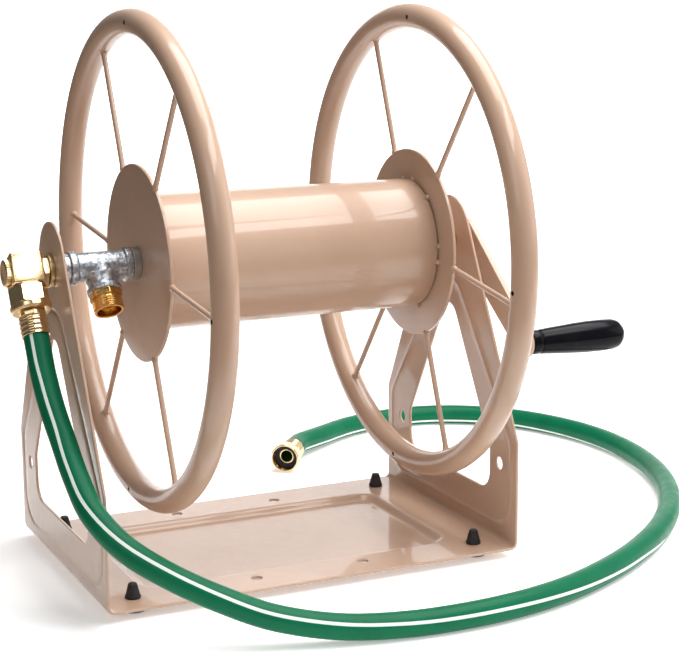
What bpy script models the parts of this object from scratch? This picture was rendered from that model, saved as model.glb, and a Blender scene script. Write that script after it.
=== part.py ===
"""Garden hose reel for a floor or a wall, with its leader hose. Metres, +Z up, floor at z = 0.

The reel turns about the X axis. The crank is on the right, the water inlet on the left.
Distances called X_... are measured along the axle from the middle of the drum.
"""
import math

import bmesh
import bpy
from mathutils import Matrix, Vector

# ---------------------------------------------------------------- driving dimensions
GAP = 0.0003                      # clearance left between touching pieces
SHEET = 0.0025                    # pressed steel sheet of the frame
FOOT_HEIGHT = 0.0075              # rubber pad under the sheet
BASE_TOP = FOOT_HEIGHT + SHEET
AXLE_Z = BASE_TOP + 0.270

X_LEFT_END = -0.257               # head of the elbow's plug
X_RIGHT_END = 0.301               # head of the grip's screw
DRUM_X = -(X_LEFT_END + X_RIGHT_END) / 2

# reel
RIM_RADIUS = 0.211                # centreline of the rolled tube
RIM_TUBE = 0.0115
RIM_WALL = 0.0012
WHEEL_SEGMENTS = 48
WHEEL_X = 0.135
VENT_RADIUS = 0.002
VENT_ANGLE = math.radians(4)      # first vent hole, from the top towards the front
HUB_RADIUS = 0.088
HUB_SHEET = 0.003
SPOKE_RADIUS = 0.0024
SPOKES = 6
LEFT_SPOKE_ANGLE = math.radians(35.5)
RIGHT_SPOKE_ANGLE = math.radians(38.5)
DRUM_RADIUS = 0.0603
DRUM_WALL = 0.0018

# frame
X_LEFT_FACE = -0.2145             # outer faces of the uprights
X_RIGHT_FACE = 0.179
BEND = 0.0065                     # outer radius where an upright meets the base
LIP = 0.0015                      # flat strip of the upright beyond its bend
BASE_HALF = 0.1315                # half the depth of base and uprights
SHOULDER_Z = BASE_TOP + 0.099
HEAD_Z = BASE_TOP + 0.2735
HEAD_RADIUS = 0.0388
WINDOW_HALF = 0.082
WINDOW_BOTTOM = BASE_TOP + 0.0425
WINDOW_SHOULDER = BASE_TOP + 0.084
WINDOW_HEAD = BASE_TOP + 0.192
WINDOW_HEAD_RADIUS = 0.016
WALL_HOLE = (0.0995, BASE_TOP + 0.0725)
WALL_HOLE_RADIUS = 0.006
RECESS_DEPTH = 0.0055
RECESS_SLOPE = 0.010
RECESS_HALF = (0.152, 0.087)
RECESS_CORNER = 0.020
HOLE_ROW_Y = 0.1035               # feet and floor screws share two rows
FLOOR_SCREW_X = 0.0517
FLOOR_SCREW_RADIUS = 0.005
FOOT_X = 0.1655
FOOT_HOLE_RADIUS = 0.005
SHOULDER_CORNER = 0.015           # roundings of the uprights and their windows
WINDOW_CORNER = 0.018
PAD_RADIUS = 0.0125               # rubber foot: pad, then a barb pushed through the sheet
BARB_RADIUS = 0.0068
BARB_HEIGHT = 0.0135
BUSH_FLANGE_RADIUS = 0.0150
BUSH_FLANGE = 0.0037

# left bearing and water inlet
WATER_BORE = 0.0065
PIPE_RADIUS = 0.01065
PIPE_THREAD_RADIUS = 0.0093       # pipe ends inside the tee
X_NIPPLE = -0.2325                # nipple: open end, shoulder, collar and its end in the tee
X_NIPPLE_SHOULDER = -0.2187
X_NIPPLE_COLLAR = (-0.2060, -0.1999)
X_NIPPLE_END = -0.1885
NOSE_RADIUS = 0.0085              # of the nipple inside the elbow
COLLAR_RADIUS = 0.0130
LEFT_BUSH_RADIUS = 0.013
X_ELBOW = -0.238
ELBOW_HALF = 0.014
ELBOW_TILT = math.radians(30)     # outlet of the elbow, from straight down to the front
ELBOW_BORE = 0.0089
X_SEAT = -0.2286                  # wider bore that holds the seal
SEAT_RADIUS = 0.0110
ELBOW_THREAD_END = 0.027
ELBOW_WATER_BORE = 0.008
PLUG_RADIUS = 0.0120
X_SEAL = (-0.2283, -0.2243)
GLAND_NUT = 0.0047
X_TEE = -0.1716
TEE_HALF = 0.028
TEE_BRANCH = 0.027
TEE_TILT = math.radians(37)
TEE_BAND = 0.0062                 # raised bands round the three ends of the tee
TEE_BAND_RADIUS = 0.0152
TEE_BODY_RADIUS = 0.0132
TEE_BORE = 0.0096
X_HUB_COLLAR = (-0.1555, -0.1275)
HUB_COLLAR_RADIUS = 0.0150
OUTLET_END = 0.0448               # from the middle of the tee to the open end of the outlet
OUTLET_HEXAGON_RADIUS = 0.0146
OUTLET_RELIEF_RADIUS = 0.0124     # groove between hexagon and thread
OUTLET_BORE = 0.0075
OUTLET_MOUTH_RADIUS = 0.0106
THREAD_RADIUS = 0.0133            # three-quarter inch garden hose thread, outside

# right bearing and crank
SHAFT_RADIUS = 0.008
X_SHAFT = (0.1300, 0.2000)
BOSS_RADIUS = 0.0130
X_BOSS_END = 0.1665
X_THRUST_WASHER = (0.1688, 0.1708)
THRUST_WASHER_RADIUS = 0.0125
X_RIGHT_BUSH = 0.1715
RIGHT_BUSH_RADIUS = 0.011
X_CROSS_BOLT = 0.152
CROSS_BOLT_RADIUS = 0.003
BOLT_REACH = 0.0133               # from the axle to the bolt's head and to its nut
BOLT_NUT = 0.005
X_ARM = 0.1935
ARM_THICKNESS = 0.005
GRIP_Y = -0.111                   # grip axis, from the axle
GRIP_DZ = -0.0832
ARM_HEAD_RADIUS = 0.018
ARM_TIP_RADIUS = 0.0135
GRIP_SCREW_RADIUS = 0.004
X_GRIP_SCREW = 0.1865
GRIP_HEAD_RADIUS = 0.0068
GRIP_NUT = 0.006
GRIP_WASHER_RADIUS = 0.0090

# hose and its couplings; distances along each coupling start at its own end
COUPLING_NUT = 0.018              # length of the hexagon on the elbow
FLANGE = (0.0300, 0.0370)         # round flange of that nut
FLANGE_RADIUS = 0.0180
NUT_SHOULDER = 0.0322             # inside face that pulls the tail against the washer
NECK_RADIUS = 0.0096              # of both crimped tails
TAIL_FLANGE_RADIUS = 0.0131
TAIL_COLLAR_RADIUS = 0.0115
FERRULE_RADIUS = 0.0125
FAR_NUT = 0.0150
FAR_NUT_RADIUS = 0.0155
FAR_NUT_SHOULDER = 0.0116
HOSE_RADIUS = 0.011
HOSE_START = 0.0593               # from the middle of the elbow, along its outlet
COUPLING_Z = 0.0158
MOUTH = (0.096, 0.222)            # open end of the far coupling
MOUTH_DIRECTION = Vector((-0.60, -0.80, 0))
HOSE_END = 0.0393                 # from the mouth back to the end of the hose
HOSE_STEP = 0.048


def on_axle(x):
    """Point on the axle's line at a distance x from the middle of the drum."""
    return Vector((DRUM_X + x, 0, AXLE_Z))


def tilted(angle):
    """Unit vector that points down, turned by the angle towards the front."""
    return Vector((0, -math.sin(angle), -math.cos(angle)))


ALONG_AXLE = Vector((1, 0, 0))
ELBOW_OUT = tilted(ELBOW_TILT)
TEE_OUT = tilted(TEE_TILT)


# ---------------------------------------------------------------- materials
def material(name, colour, roughness, metallic):
    made = bpy.data.materials.new(name)
    made.use_nodes = True
    shader = made.node_tree.nodes["Principled BSDF"]
    shader.inputs["Base Color"].default_value = (*colour, 1)
    shader.inputs["Roughness"].default_value = roughness
    shader.inputs["Metallic"].default_value = metallic
    made.diffuse_color = (*colour, 1)
    return made


for old in list(bpy.data.objects):
    bpy.data.objects.remove(old)

PAINT = material("tan_paint", (0.62, 0.43, 0.33), 0.30, 0.0)
BRASS = material("brass", (0.86, 0.60, 0.24), 0.22, 1.0)
GALVANISED = material("galvanised_iron", (0.52, 0.55, 0.58), 0.38, 1.0)
STEEL = material("zinc_steel", (0.60, 0.60, 0.60), 0.32, 1.0)
GRIP_BLACK = material("black_plastic", (0.012, 0.012, 0.016), 0.30, 0.0)
RUBBER = material("black_rubber", (0.015, 0.015, 0.015), 0.65, 0.0)
NYLON = material("white_nylon", (0.75, 0.74, 0.70), 0.45, 0.0)
HOSE_GREEN = material("green_hose", (0.006, 0.205, 0.092), 0.35, 0.0)


# ---------------------------------------------------------------- flat outlines
def circle(radius, segments, centre=(0, 0), phase=0.0):
    angles = [phase + math.tau * i / segments for i in range(segments)]
    return [Vector((centre[0] + radius * math.cos(a), centre[1] + radius * math.sin(a)))
            for a in angles]


def arc(centre, radius, start, end, steps):
    angles = [start + (end - start) * i / steps for i in range(steps + 1)]
    return [Vector((centre[0] + radius * math.cos(a), centre[1] + radius * math.sin(a)))
            for a in angles]


def rounded(points, radii, steps):
    """Outline with an arc in place of each corner that has a radius."""
    outline = []
    for i, radius in enumerate(radii):
        corner = Vector(points[i])
        if radius == 0:
            outline.append(corner)
            continue
        back = (Vector(points[i - 1]) - corner).normalized()
        ahead = (Vector(points[(i + 1) % len(points)]) - corner).normalized()
        half = back.angle(ahead) / 2
        centre = corner + (back + ahead).normalized() * radius / math.sin(half)
        first = corner + back * radius / math.tan(half) - centre
        last = corner + ahead * radius / math.tan(half) - centre
        start = math.atan2(first.y, first.x)
        turn = math.atan2(first.x * last.y - first.y * last.x, first.dot(last))
        outline += arc(centre, radius, start, start + turn, steps)
    return outline


def arch(half, bottom, shoulder, head, head_radius, bottom_corner, shoulder_corner):
    """Upright sides up to the shoulders, then straight to a round head."""
    to_head = Vector((half, head - shoulder))
    slope = math.atan2(to_head.y, to_head.x) + math.asin(head_radius / to_head.length)
    touch = slope + math.pi / 2
    top = arc((0, head), head_radius, touch, math.pi - touch, 10)
    points = [(-half, bottom), (-half, shoulder), *top, (half, shoulder), (half, bottom)]
    radii = [bottom_corner, shoulder_corner, *[0] * len(top), shoulder_corner, bottom_corner]
    return rounded(points, radii, 4)


def tapered_bar(start_radius, end, end_radius, steps):
    """Outline around a circle at the origin and a smaller one at the end point."""
    end = Vector(end)
    along = math.atan2(end.y, end.x)
    touch = math.acos((start_radius - end_radius) / end.length)
    big = arc((0, 0), start_radius, along + touch, along - touch + math.tau, steps)
    small = arc(end, end_radius, along - touch, along + touch, steps)
    return big + small


def hexagon(across_flats, phase=0.0):
    return circle(across_flats / 2 / math.cos(math.pi / 6), 6, phase=phase)


# ---------------------------------------------------------------- solids
def along(direction, origin):
    """Placement whose local Z runs along the direction."""
    if abs(direction.x) > 0.999:
        turn = Matrix(((0, 0, 1), (1, 0, 0), (0, 1, 0)))
    else:
        turn = direction.to_track_quat("Z", "X").to_matrix()
    return Matrix.Translation(origin) @ turn.to_4x4()


def add_object(name, bm, finish, placement, smooth=True):
    bmesh.ops.recalc_face_normals(bm, faces=bm.faces[:])
    mesh = bpy.data.meshes.new(name)
    bm.to_mesh(mesh)
    bm.free()
    mesh.materials.append(finish)
    if smooth:
        mesh.shade_smooth()
        mesh.set_sharp_from_angle(angle=math.radians(35))
    made = bpy.data.objects.new(name, mesh)
    made.matrix_world = placement
    bpy.context.scene.collection.objects.link(made)
    return made


def join_rings(bm, lower, upper):
    count = max(len(lower), len(upper))
    for i in range(count):
        k = (i + 1) % count
        if len(lower) == 1:
            bm.faces.new((lower[0], upper[i], upper[k]))
        elif len(upper) == 1:
            bm.faces.new((lower[i], upper[0], lower[k]))
        else:
            bm.faces.new((lower[i], upper[i], upper[k], lower[k]))


def lathe(name, profile, segments, finish, placement, hollow=False):
    """Turn (radius, height) points about local Z. A hollow profile is a closed loop."""
    bm = bmesh.new()
    rings = []
    for radius, height in profile:
        if radius == 0:
            rings.append([bm.verts.new((0, 0, height))])
        else:
            rings.append([bm.verts.new((*p, height)) for p in circle(radius, segments)])
    following = rings[1:] + rings[:1] if hollow else rings[1:]
    for lower, upper in zip(rings, following):
        join_rings(bm, lower, upper)
    return add_object(name, bm, finish, placement)


def rod(name, radius, start, end, segments, finish):
    """Plain round bar between two points."""
    span = end - start
    profile = [(0, 0), (radius, 0), (radius, span.length), (0, span.length)]
    return lathe(name, profile, segments, finish, along(span.normalized(), start))


def fill(bm, loops):
    """Flat face in local XY inside the first loop and outside the others."""
    rings = []
    edges = []
    for loop in loops:
        ring = [bm.verts.new((point[0], point[1], 0)) for point in loop]
        rings.append(ring)
        edges += [bm.edges.new(pair) for pair in zip(ring, ring[1:] + ring[:1])]
    bmesh.ops.triangle_fill(bm, use_beauty=True, edges=edges)
    return rings


def plate(name, outline, holes, thickness, finish, placement):
    bm = bmesh.new()
    fill(bm, [outline, *holes])
    raised = bmesh.ops.extrude_face_region(bm, geom=bm.faces[:])["geom"]
    corners = [item for item in raised if isinstance(item, bmesh.types.BMVert)]
    bmesh.ops.translate(bm, verts=corners, vec=(0, 0, thickness))
    return add_object(name, bm, finish, placement)


def face_surface(bm, wanted):
    """Turn an open surface's faces to the wanted side."""
    bmesh.ops.recalc_face_normals(bm, faces=bm.faces[:])
    if sum((face.normal.dot(wanted) * face.calc_area() for face in bm.faces)) < 0:
        bmesh.ops.reverse_faces(bm, faces=bm.faces[:])


def add_sheet(name, bm, finish, placement):
    """Object from an open surface, thickened behind its faces."""
    mesh = bpy.data.meshes.new(name)
    bm.to_mesh(mesh)
    bm.free()
    mesh.materials.append(finish)
    made = bpy.data.objects.new(name, mesh)
    made.matrix_world = placement
    bpy.context.scene.collection.objects.link(made)
    solid = made.modifiers.new("sheet", "SOLIDIFY")
    solid.thickness = SHEET
    solid.offset = -1
    solid.use_even_offset = True
    return made


def combine(target, tool, operation):
    """Cut a tool out of the target, or add it, and hide the tool."""
    step = target.modifiers.new(tool.name, "BOOLEAN")
    step.operation = operation
    step.solver = "EXACT"
    step.object = tool
    tool.hide_render = True
    tool.display_type = "WIRE"


# ---------------------------------------------------------------- frame
def base_middle_x():
    return DRUM_X + (X_LEFT_FACE + X_RIGHT_FACE) / 2


def base_half_length():
    return (X_RIGHT_FACE - X_LEFT_FACE) / 2 - BEND - LIP - GAP


def rectangle(half_x, half_y):
    return [(-half_x, -half_y), (half_x, -half_y), (half_x, half_y), (-half_x, half_y)]


def build_base():
    """Flat border with feet and screw holes around a shallow recess."""
    bm = bmesh.new()
    recess = rounded(rectangle(*RECESS_HALF), [RECESS_CORNER] * 4, 4)
    holes = []
    for y in (-HOLE_ROW_Y, HOLE_ROW_Y):
        holes += [circle(FOOT_HOLE_RADIUS, 16, (x, y)) for x in (-FOOT_X, FOOT_X)]
        holes += [circle(FLOOR_SCREW_RADIUS, 16, (x, y)) for x in (-FLOOR_SCREW_X, FLOOR_SCREW_X)]
    border = rectangle(base_half_length(), BASE_HALF)
    upper = fill(bm, [border, recess, *holes])[1]
    floor_half = [half - RECESS_SLOPE for half in RECESS_HALF]
    floor = rounded(rectangle(*floor_half), [RECESS_CORNER - RECESS_SLOPE] * 4, 4)
    lower = [bm.verts.new((point[0], point[1], -RECESS_DEPTH)) for point in floor]
    join_rings(bm, upper, lower)
    edges = [bm.edges.get(pair) for pair in zip(lower, lower[1:] + lower[:1])]
    bmesh.ops.triangle_fill(bm, use_beauty=True, edges=edges)
    face_surface(bm, Vector((0, 0, 1)))
    add_sheet("base_pan", bm, PAINT, Matrix.Translation((base_middle_x(), 0, BASE_TOP)))


def build_upright(name, face_x, facing, bush_hole):
    """Pressed A-shaped side, curved inwards at the bottom to meet the base."""
    bm = bmesh.new()
    bottom = FOOT_HEIGHT + BEND
    outline = arch(BASE_HALF, bottom, SHOULDER_Z, HEAD_Z, HEAD_RADIUS, 0,
                   SHOULDER_CORNER)
    window = arch(WINDOW_HALF, WINDOW_BOTTOM, WINDOW_SHOULDER, WINDOW_HEAD,
                  WINDOW_HEAD_RADIUS, WINDOW_CORNER, SHOULDER_CORNER)
    holes = [circle(bush_hole, 24, (0, AXLE_Z))]
    holes += [circle(WALL_HOLE_RADIUS, 16, (side * WALL_HOLE[0], WALL_HOLE[1])) for side in (-1, 1)]
    ring = fill(bm, [outline, window, *holes])[0]
    bmesh.ops.transform(bm, matrix=along(ALONG_AXLE, Vector()), verts=bm.verts[:])
    edge = bm.edges.get((ring[0], ring[-1]))
    steps = 4
    for _ in range(steps):
        made = bmesh.ops.extrude_edge_only(bm, edges=[edge])["geom"]
        edge = next(item for item in made if isinstance(item, bmesh.types.BMEdge))
        bmesh.ops.rotate(bm, verts=edge.verts[:], cent=(-BEND, 0, bottom),
                         matrix=Matrix.Rotation(math.pi / 2 / steps, 3, "Y"))
    made = bmesh.ops.extrude_edge_only(bm, edges=[edge])["geom"]
    lip = [item for item in made if isinstance(item, bmesh.types.BMVert)]
    bmesh.ops.translate(bm, verts=lip, vec=(-LIP, 0, 0))
    face_surface(bm, Vector((1, 0, 0)))
    turn = Matrix.Rotation(0 if facing > 0 else math.pi, 4, "Z")
    add_sheet(name, bm, PAINT, Matrix.Translation((DRUM_X + face_x, 0, 0)) @ turn)


def build_feet():
    """Rubber foot: a pad under the sheet and a cone pushed through its hole."""
    neck = FOOT_HOLE_RADIUS - 2 * GAP
    tip = BASE_TOP + BARB_HEIGHT
    profile = [(0, 0), (PAD_RADIUS - 0.0012, 0), (PAD_RADIUS, 0.0014),
               (PAD_RADIUS, FOOT_HEIGHT - GAP), (neck, FOOT_HEIGHT - GAP), (neck, BASE_TOP + GAP),
               (BARB_RADIUS, BASE_TOP + GAP), (BARB_RADIUS - 0.0006, BASE_TOP + 0.0035),
               (0.0036, tip - 0.0007), (0, tip)]
    for row, y in (("front", -HOLE_ROW_Y), ("rear", HOLE_ROW_Y)):
        for side, x in (("left", -FOOT_X), ("right", FOOT_X)):
            place = Matrix.Translation((base_middle_x() + x, y, 0))
            lathe(f"foot_{row}_{side}", profile, 16, RUBBER, place)


def tube(name, inner, outer, x_start, x_end, segments, finish):
    """Plain ring or tube around the axle."""
    profile = [(inner, x_start), (outer, x_start), (outer, x_end), (inner, x_end)]
    return lathe(name, profile, segments, finish, along(ALONG_AXLE, on_axle(0)), hollow=True)


def build_bushes():
    """Flanged bushes that carry the inlet pipe and the crank shaft."""
    inner = PIPE_RADIUS + GAP
    outside = X_LEFT_FACE - GAP
    profile = [(inner, outside - BUSH_FLANGE), (BUSH_FLANGE_RADIUS, outside - BUSH_FLANGE),
               (BUSH_FLANGE_RADIUS, outside),
               (LEFT_BUSH_RADIUS, outside), (LEFT_BUSH_RADIUS, -0.2095), (inner, -0.2095)]
    lathe("left_bush", profile, 32, BRASS, along(ALONG_AXLE, on_axle(0)), hollow=True)
    inner = SHAFT_RADIUS + GAP
    inside = X_RIGHT_FACE - SHEET - GAP
    profile = [(inner, X_RIGHT_BUSH), (BUSH_FLANGE_RADIUS, X_RIGHT_BUSH),
               (BUSH_FLANGE_RADIUS, inside), (RIGHT_BUSH_RADIUS, inside),
               (RIGHT_BUSH_RADIUS, 0.1835), (inner, 0.1835)]
    lathe("right_bush", profile, 32, BRASS, along(ALONG_AXLE, on_axle(0)), hollow=True)


# ---------------------------------------------------------------- reel
def wheel_point(x, radius, angle):
    """Point on a wheel, with the angle measured from the top towards the front."""
    return on_axle(x) + Vector((0, -radius * math.sin(angle), radius * math.cos(angle)))


def torus(name, tube_radius, x):
    section = [(RIM_RADIUS + p.x, p.y) for p in circle(tube_radius, 8)]
    place = along(ALONG_AXLE, on_axle(x))
    return lathe(name, section, WHEEL_SEGMENTS, PAINT, place, hollow=True)


def build_wheel(side, x, first_angle, hub_bore):
    """Rolled tube rim with vent holes, six rod spokes and a flat hub disc."""
    rim = torus(f"{side}_rim", RIM_TUBE, x)
    combine(rim, torus(f"{side}_rim_inside", RIM_TUBE - RIM_WALL, x), "DIFFERENCE")
    for i in range(4):
        angle = VENT_ANGLE + i * math.pi / 2
        start = wheel_point(x - RIM_TUBE - 0.002, RIM_RADIUS, angle)
        end = wheel_point(x, RIM_RADIUS, angle)
        vent = rod(f"{side}_vent_{i}", VENT_RADIUS, start, end, 8, PAINT)
        combine(rim, vent, "DIFFERENCE")
    flat = math.cos(math.pi / WHEEL_SEGMENTS)
    for i in range(SPOKES):
        angle = first_angle + math.tau * i / SPOKES
        start = wheel_point(x, HUB_RADIUS + GAP, angle)
        end = wheel_point(x, (RIM_RADIUS - RIM_TUBE) * flat - GAP, angle)
        rod(f"{side}_spoke_{i + 1}", SPOKE_RADIUS, start, end, 8, PAINT)
    half = HUB_SHEET / 2
    tube(f"{side}_hub_disc", hub_bore, HUB_RADIUS, x - half, x + half, WHEEL_SEGMENTS, PAINT)


def build_drum():
    half = WHEEL_X - HUB_SHEET / 2 - GAP
    tube("drum", DRUM_RADIUS - DRUM_WALL, DRUM_RADIUS, -half, half, WHEEL_SEGMENTS, PAINT)


def build_inlet_nipple():
    """Pipe that turns in the bush and carries water from the elbow to the tee."""
    collar_start, collar_end = X_NIPPLE_COLLAR
    profile = [(WATER_BORE, X_NIPPLE), (NOSE_RADIUS, X_NIPPLE),
               (NOSE_RADIUS, X_NIPPLE_SHOULDER), (PIPE_RADIUS, X_NIPPLE_SHOULDER),
               (PIPE_RADIUS, collar_start), (COLLAR_RADIUS, collar_start),
               (COLLAR_RADIUS, collar_end), (PIPE_THREAD_RADIUS, collar_end),
               (PIPE_THREAD_RADIUS, X_NIPPLE_END), (WATER_BORE, X_NIPPLE_END)]
    lathe("inlet_nipple", profile, 24, GALVANISED, along(ALONG_AXLE, on_axle(0)), hollow=True)


def build_tee():
    """Malleable pipe tee, hollow through its run and its branch."""
    middle = on_axle(X_TEE)
    band_start = TEE_HALF - TEE_BAND
    run = [(0, -TEE_HALF), (TEE_BAND_RADIUS, -TEE_HALF), (TEE_BAND_RADIUS, -band_start),
           (TEE_BODY_RADIUS, -band_start), (TEE_BODY_RADIUS, band_start),
           (TEE_BAND_RADIUS, band_start), (TEE_BAND_RADIUS, TEE_HALF), (0, TEE_HALF)]
    tee = lathe("pipe_tee", run, 24, GALVANISED, along(ALONG_AXLE, middle))
    neck = TEE_BODY_RADIUS - 0.0002
    band_start = TEE_BRANCH - TEE_BAND
    branch = [(0, 0), (neck, 0), (neck, band_start), (TEE_BAND_RADIUS, band_start),
              (TEE_BAND_RADIUS, TEE_BRANCH), (0, TEE_BRANCH)]
    combine(tee, lathe("tee_branch", branch, 24, GALVANISED, along(TEE_OUT, middle)), "UNION")
    reach = ALONG_AXLE * (TEE_HALF + 0.002)
    bore = rod("tee_run_bore", TEE_BORE, middle - reach, middle + reach, 20, GALVANISED)
    combine(tee, bore, "DIFFERENCE")
    mouth = middle + TEE_OUT * (TEE_BRANCH + 0.002)
    combine(tee, rod("tee_branch_bore", TEE_BORE, middle, mouth, 20, GALVANISED), "DIFFERENCE")


def build_hub_collar():
    """Closed collar that joins the tee to the left hub disc."""
    disc_face = -WHEEL_X - HUB_SHEET / 2 - GAP
    tee_face = X_TEE + TEE_HALF + GAP
    start, end = X_HUB_COLLAR
    spigot = 0.0107
    profile = [(0, start), (PIPE_THREAD_RADIUS, start), (PIPE_THREAD_RADIUS, tee_face),
               (HUB_COLLAR_RADIUS, tee_face), (HUB_COLLAR_RADIUS, disc_face),
               (spigot, disc_face), (spigot, end), (0, end)]
    lathe("hub_collar", profile, 24, GALVANISED, along(ALONG_AXLE, on_axle(0)))


def build_outlet():
    """Brass male connector for the hose that is wound on the drum."""
    shoulder = TEE_BRANCH + GAP
    hexagon_end = OUTLET_END - 0.0123
    thread_start = OUTLET_END - 0.0110
    thread_end = OUTLET_END - 0.0010
    profile = [(OUTLET_BORE, 0.0155), (PIPE_THREAD_RADIUS, 0.0155), (PIPE_THREAD_RADIUS, shoulder),
               (OUTLET_HEXAGON_RADIUS, shoulder), (OUTLET_HEXAGON_RADIUS, hexagon_end),
               (OUTLET_RELIEF_RADIUS, hexagon_end), (OUTLET_RELIEF_RADIUS, thread_start),
               (THREAD_RADIUS, thread_start), (THREAD_RADIUS, thread_end),
               (THREAD_RADIUS - 0.0004, OUTLET_END), (OUTLET_MOUTH_RADIUS, OUTLET_END),
               (OUTLET_MOUTH_RADIUS, hexagon_end - 0.0025), (OUTLET_BORE, hexagon_end - 0.0045)]
    lathe("outlet_connector", profile, 24, BRASS, along(TEE_OUT, on_axle(X_TEE)), hollow=True)


def build_crank():
    """Boss on the right hub disc, shaft, cross bolt, washer, arm and grip."""
    clear = SHAFT_RADIUS + GAP
    boss_start = WHEEL_X + HUB_SHEET / 2 + GAP
    boss = tube("hub_boss", clear, BOSS_RADIUS, boss_start, X_BOSS_END, 24, PAINT)
    shaft = rod("crank_shaft", SHAFT_RADIUS, on_axle(X_SHAFT[0]), on_axle(X_SHAFT[1]), 24, STEEL)
    reach = Vector((0, 0, 0.020))
    for part in (boss, shaft):
        middle = on_axle(X_CROSS_BOLT)
        hole = rod(f"{part.name}_hole", CROSS_BOLT_RADIUS + GAP, middle - reach, middle + reach,
                   12, STEEL)
        combine(part, hole, "DIFFERENCE")
    end = -BOLT_REACH - BOLT_NUT - 0.0017
    top = BOLT_REACH + 0.0035
    profile = [(0, end), (CROSS_BOLT_RADIUS, end), (CROSS_BOLT_RADIUS, BOLT_REACH),
               (0.0055, BOLT_REACH), (0.0050, top), (0, top)]
    up = Matrix.Translation(on_axle(X_CROSS_BOLT))
    lathe("cross_bolt", profile, 12, STEEL, up)
    nut_place = up @ Matrix.Translation((0, 0, -BOLT_REACH - BOLT_NUT))
    plate("cross_bolt_nut", hexagon(0.010), [circle(CROSS_BOLT_RADIUS + GAP, 12)], BOLT_NUT,
          STEEL, nut_place)
    tube("thrust_washer", clear, THRUST_WASHER_RADIUS, *X_THRUST_WASHER, 24, NYLON)
    holes = [circle(clear, 24), circle(GRIP_SCREW_RADIUS + GAP, 12, (GRIP_Y, GRIP_DZ))]
    outline = tapered_bar(ARM_HEAD_RADIUS, (GRIP_Y, GRIP_DZ), ARM_TIP_RADIUS, 12)
    plate("crank_arm", outline, holes, ARM_THICKNESS, PAINT, along(ALONG_AXLE, on_axle(X_ARM)))


def on_grip(x):
    return on_axle(x) + Vector((0, GRIP_Y, GRIP_DZ))


def build_grip():
    """Plastic grip that spins on a long screw, with its washer and nut."""
    place = along(ALONG_AXLE, on_grip(0))
    head_start = X_RIGHT_END - 0.0020
    screw = [(0, X_GRIP_SCREW), (GRIP_SCREW_RADIUS, X_GRIP_SCREW),
             (GRIP_SCREW_RADIUS, head_start), (GRIP_HEAD_RADIUS, head_start),
             (GRIP_HEAD_RADIUS - 0.001, X_RIGHT_END), (0, X_RIGHT_END)]
    lathe("grip_screw", screw, 16, STEEL, place)
    nut = hexagon(0.013)
    nut_place = along(ALONG_AXLE, on_grip(X_ARM - GAP - GRIP_NUT))
    plate("grip_nut", nut, [circle(GRIP_SCREW_RADIUS + GAP, 16)], GRIP_NUT, STEEL, nut_place)
    bore = GRIP_SCREW_RADIUS + GAP
    face = X_ARM + ARM_THICKNESS + GAP
    washer_end = face + 0.0015
    washer = [(bore, face), (GRIP_WASHER_RADIUS, face), (GRIP_WASHER_RADIUS, washer_end),
              (bore, washer_end)]
    lathe("grip_washer", washer, 16, STEEL, place, hollow=True)
    start = washer_end + GAP
    end = head_start - GAP
    profile = [(bore, start), (0.0105, start), (0.0112, start + 0.0015), (0.0112, start + 0.0080),
               (0.0106, start + 0.0092), (0.0114, start + 0.0104), (0.0131, start + 0.0350),
               (0.0146, start + 0.0600), (0.0147, start + 0.0760), (0.0143, start + 0.0880),
               (0.0128, start + 0.0935), (0.0090, end), (bore, end)]
    lathe("grip", profile, 20, GRIP_BLACK, place, hollow=True)


# ---------------------------------------------------------------- inlet elbow
def build_elbow():
    """Brass swivel elbow: a block bored through along the axle, with a hose thread below."""
    middle = on_axle(X_ELBOW)
    bm = bmesh.new()
    bmesh.ops.create_cube(bm, size=2 * ELBOW_HALF)
    bmesh.ops.bevel(bm, geom=bm.edges[:], offset=0.0012, segments=1, affect="EDGES")
    place = Matrix.Translation(middle) @ Matrix.Rotation(-ELBOW_TILT, 4, "X")
    elbow = add_object("elbow_body", bm, BRASS, place, smooth=False)
    outlet = rod("elbow_outlet", THREAD_RADIUS, middle, middle + ELBOW_OUT * ELBOW_THREAD_END, 24,
                 BRASS)
    combine(elbow, outlet, "UNION")
    reach = ELBOW_HALF + 0.004
    bore = rod("elbow_bore", ELBOW_BORE, on_axle(X_ELBOW - reach), on_axle(X_ELBOW + reach),
               20, BRASS)
    combine(elbow, bore, "DIFFERENCE")
    seat = rod("elbow_seat", SEAT_RADIUS, on_axle(X_SEAT), on_axle(X_ELBOW + reach), 20, BRASS)
    combine(elbow, seat, "DIFFERENCE")
    water_end = middle + ELBOW_OUT * (ELBOW_THREAD_END + 0.003)
    water = rod("elbow_water", ELBOW_WATER_BORE, middle, water_end, 20, BRASS)
    combine(elbow, water, "DIFFERENCE")

    block_left = X_ELBOW - ELBOW_HALF
    plug_end = block_left + 0.0045
    plug = [(0, X_LEFT_END), (PLUG_RADIUS - 0.0015, X_LEFT_END),
            (PLUG_RADIUS, X_LEFT_END + 0.0012), (PLUG_RADIUS, block_left - GAP),
            (ELBOW_BORE - GAP, block_left - GAP), (ELBOW_BORE - GAP, plug_end), (0, plug_end)]
    lathe("elbow_plug", plug, 24, BRASS, along(ALONG_AXLE, on_axle(0)))
    tube("swivel_seal", NOSE_RADIUS + GAP, SEAT_RADIUS - GAP, *X_SEAL, 20, RUBBER)
    nut_place = along(ALONG_AXLE, on_axle(X_ELBOW + ELBOW_HALF + GAP))
    plate("gland_nut", hexagon(0.024), [circle(ELBOW_BORE, 20)], GLAND_NUT, BRASS,
          nut_place)


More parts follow.
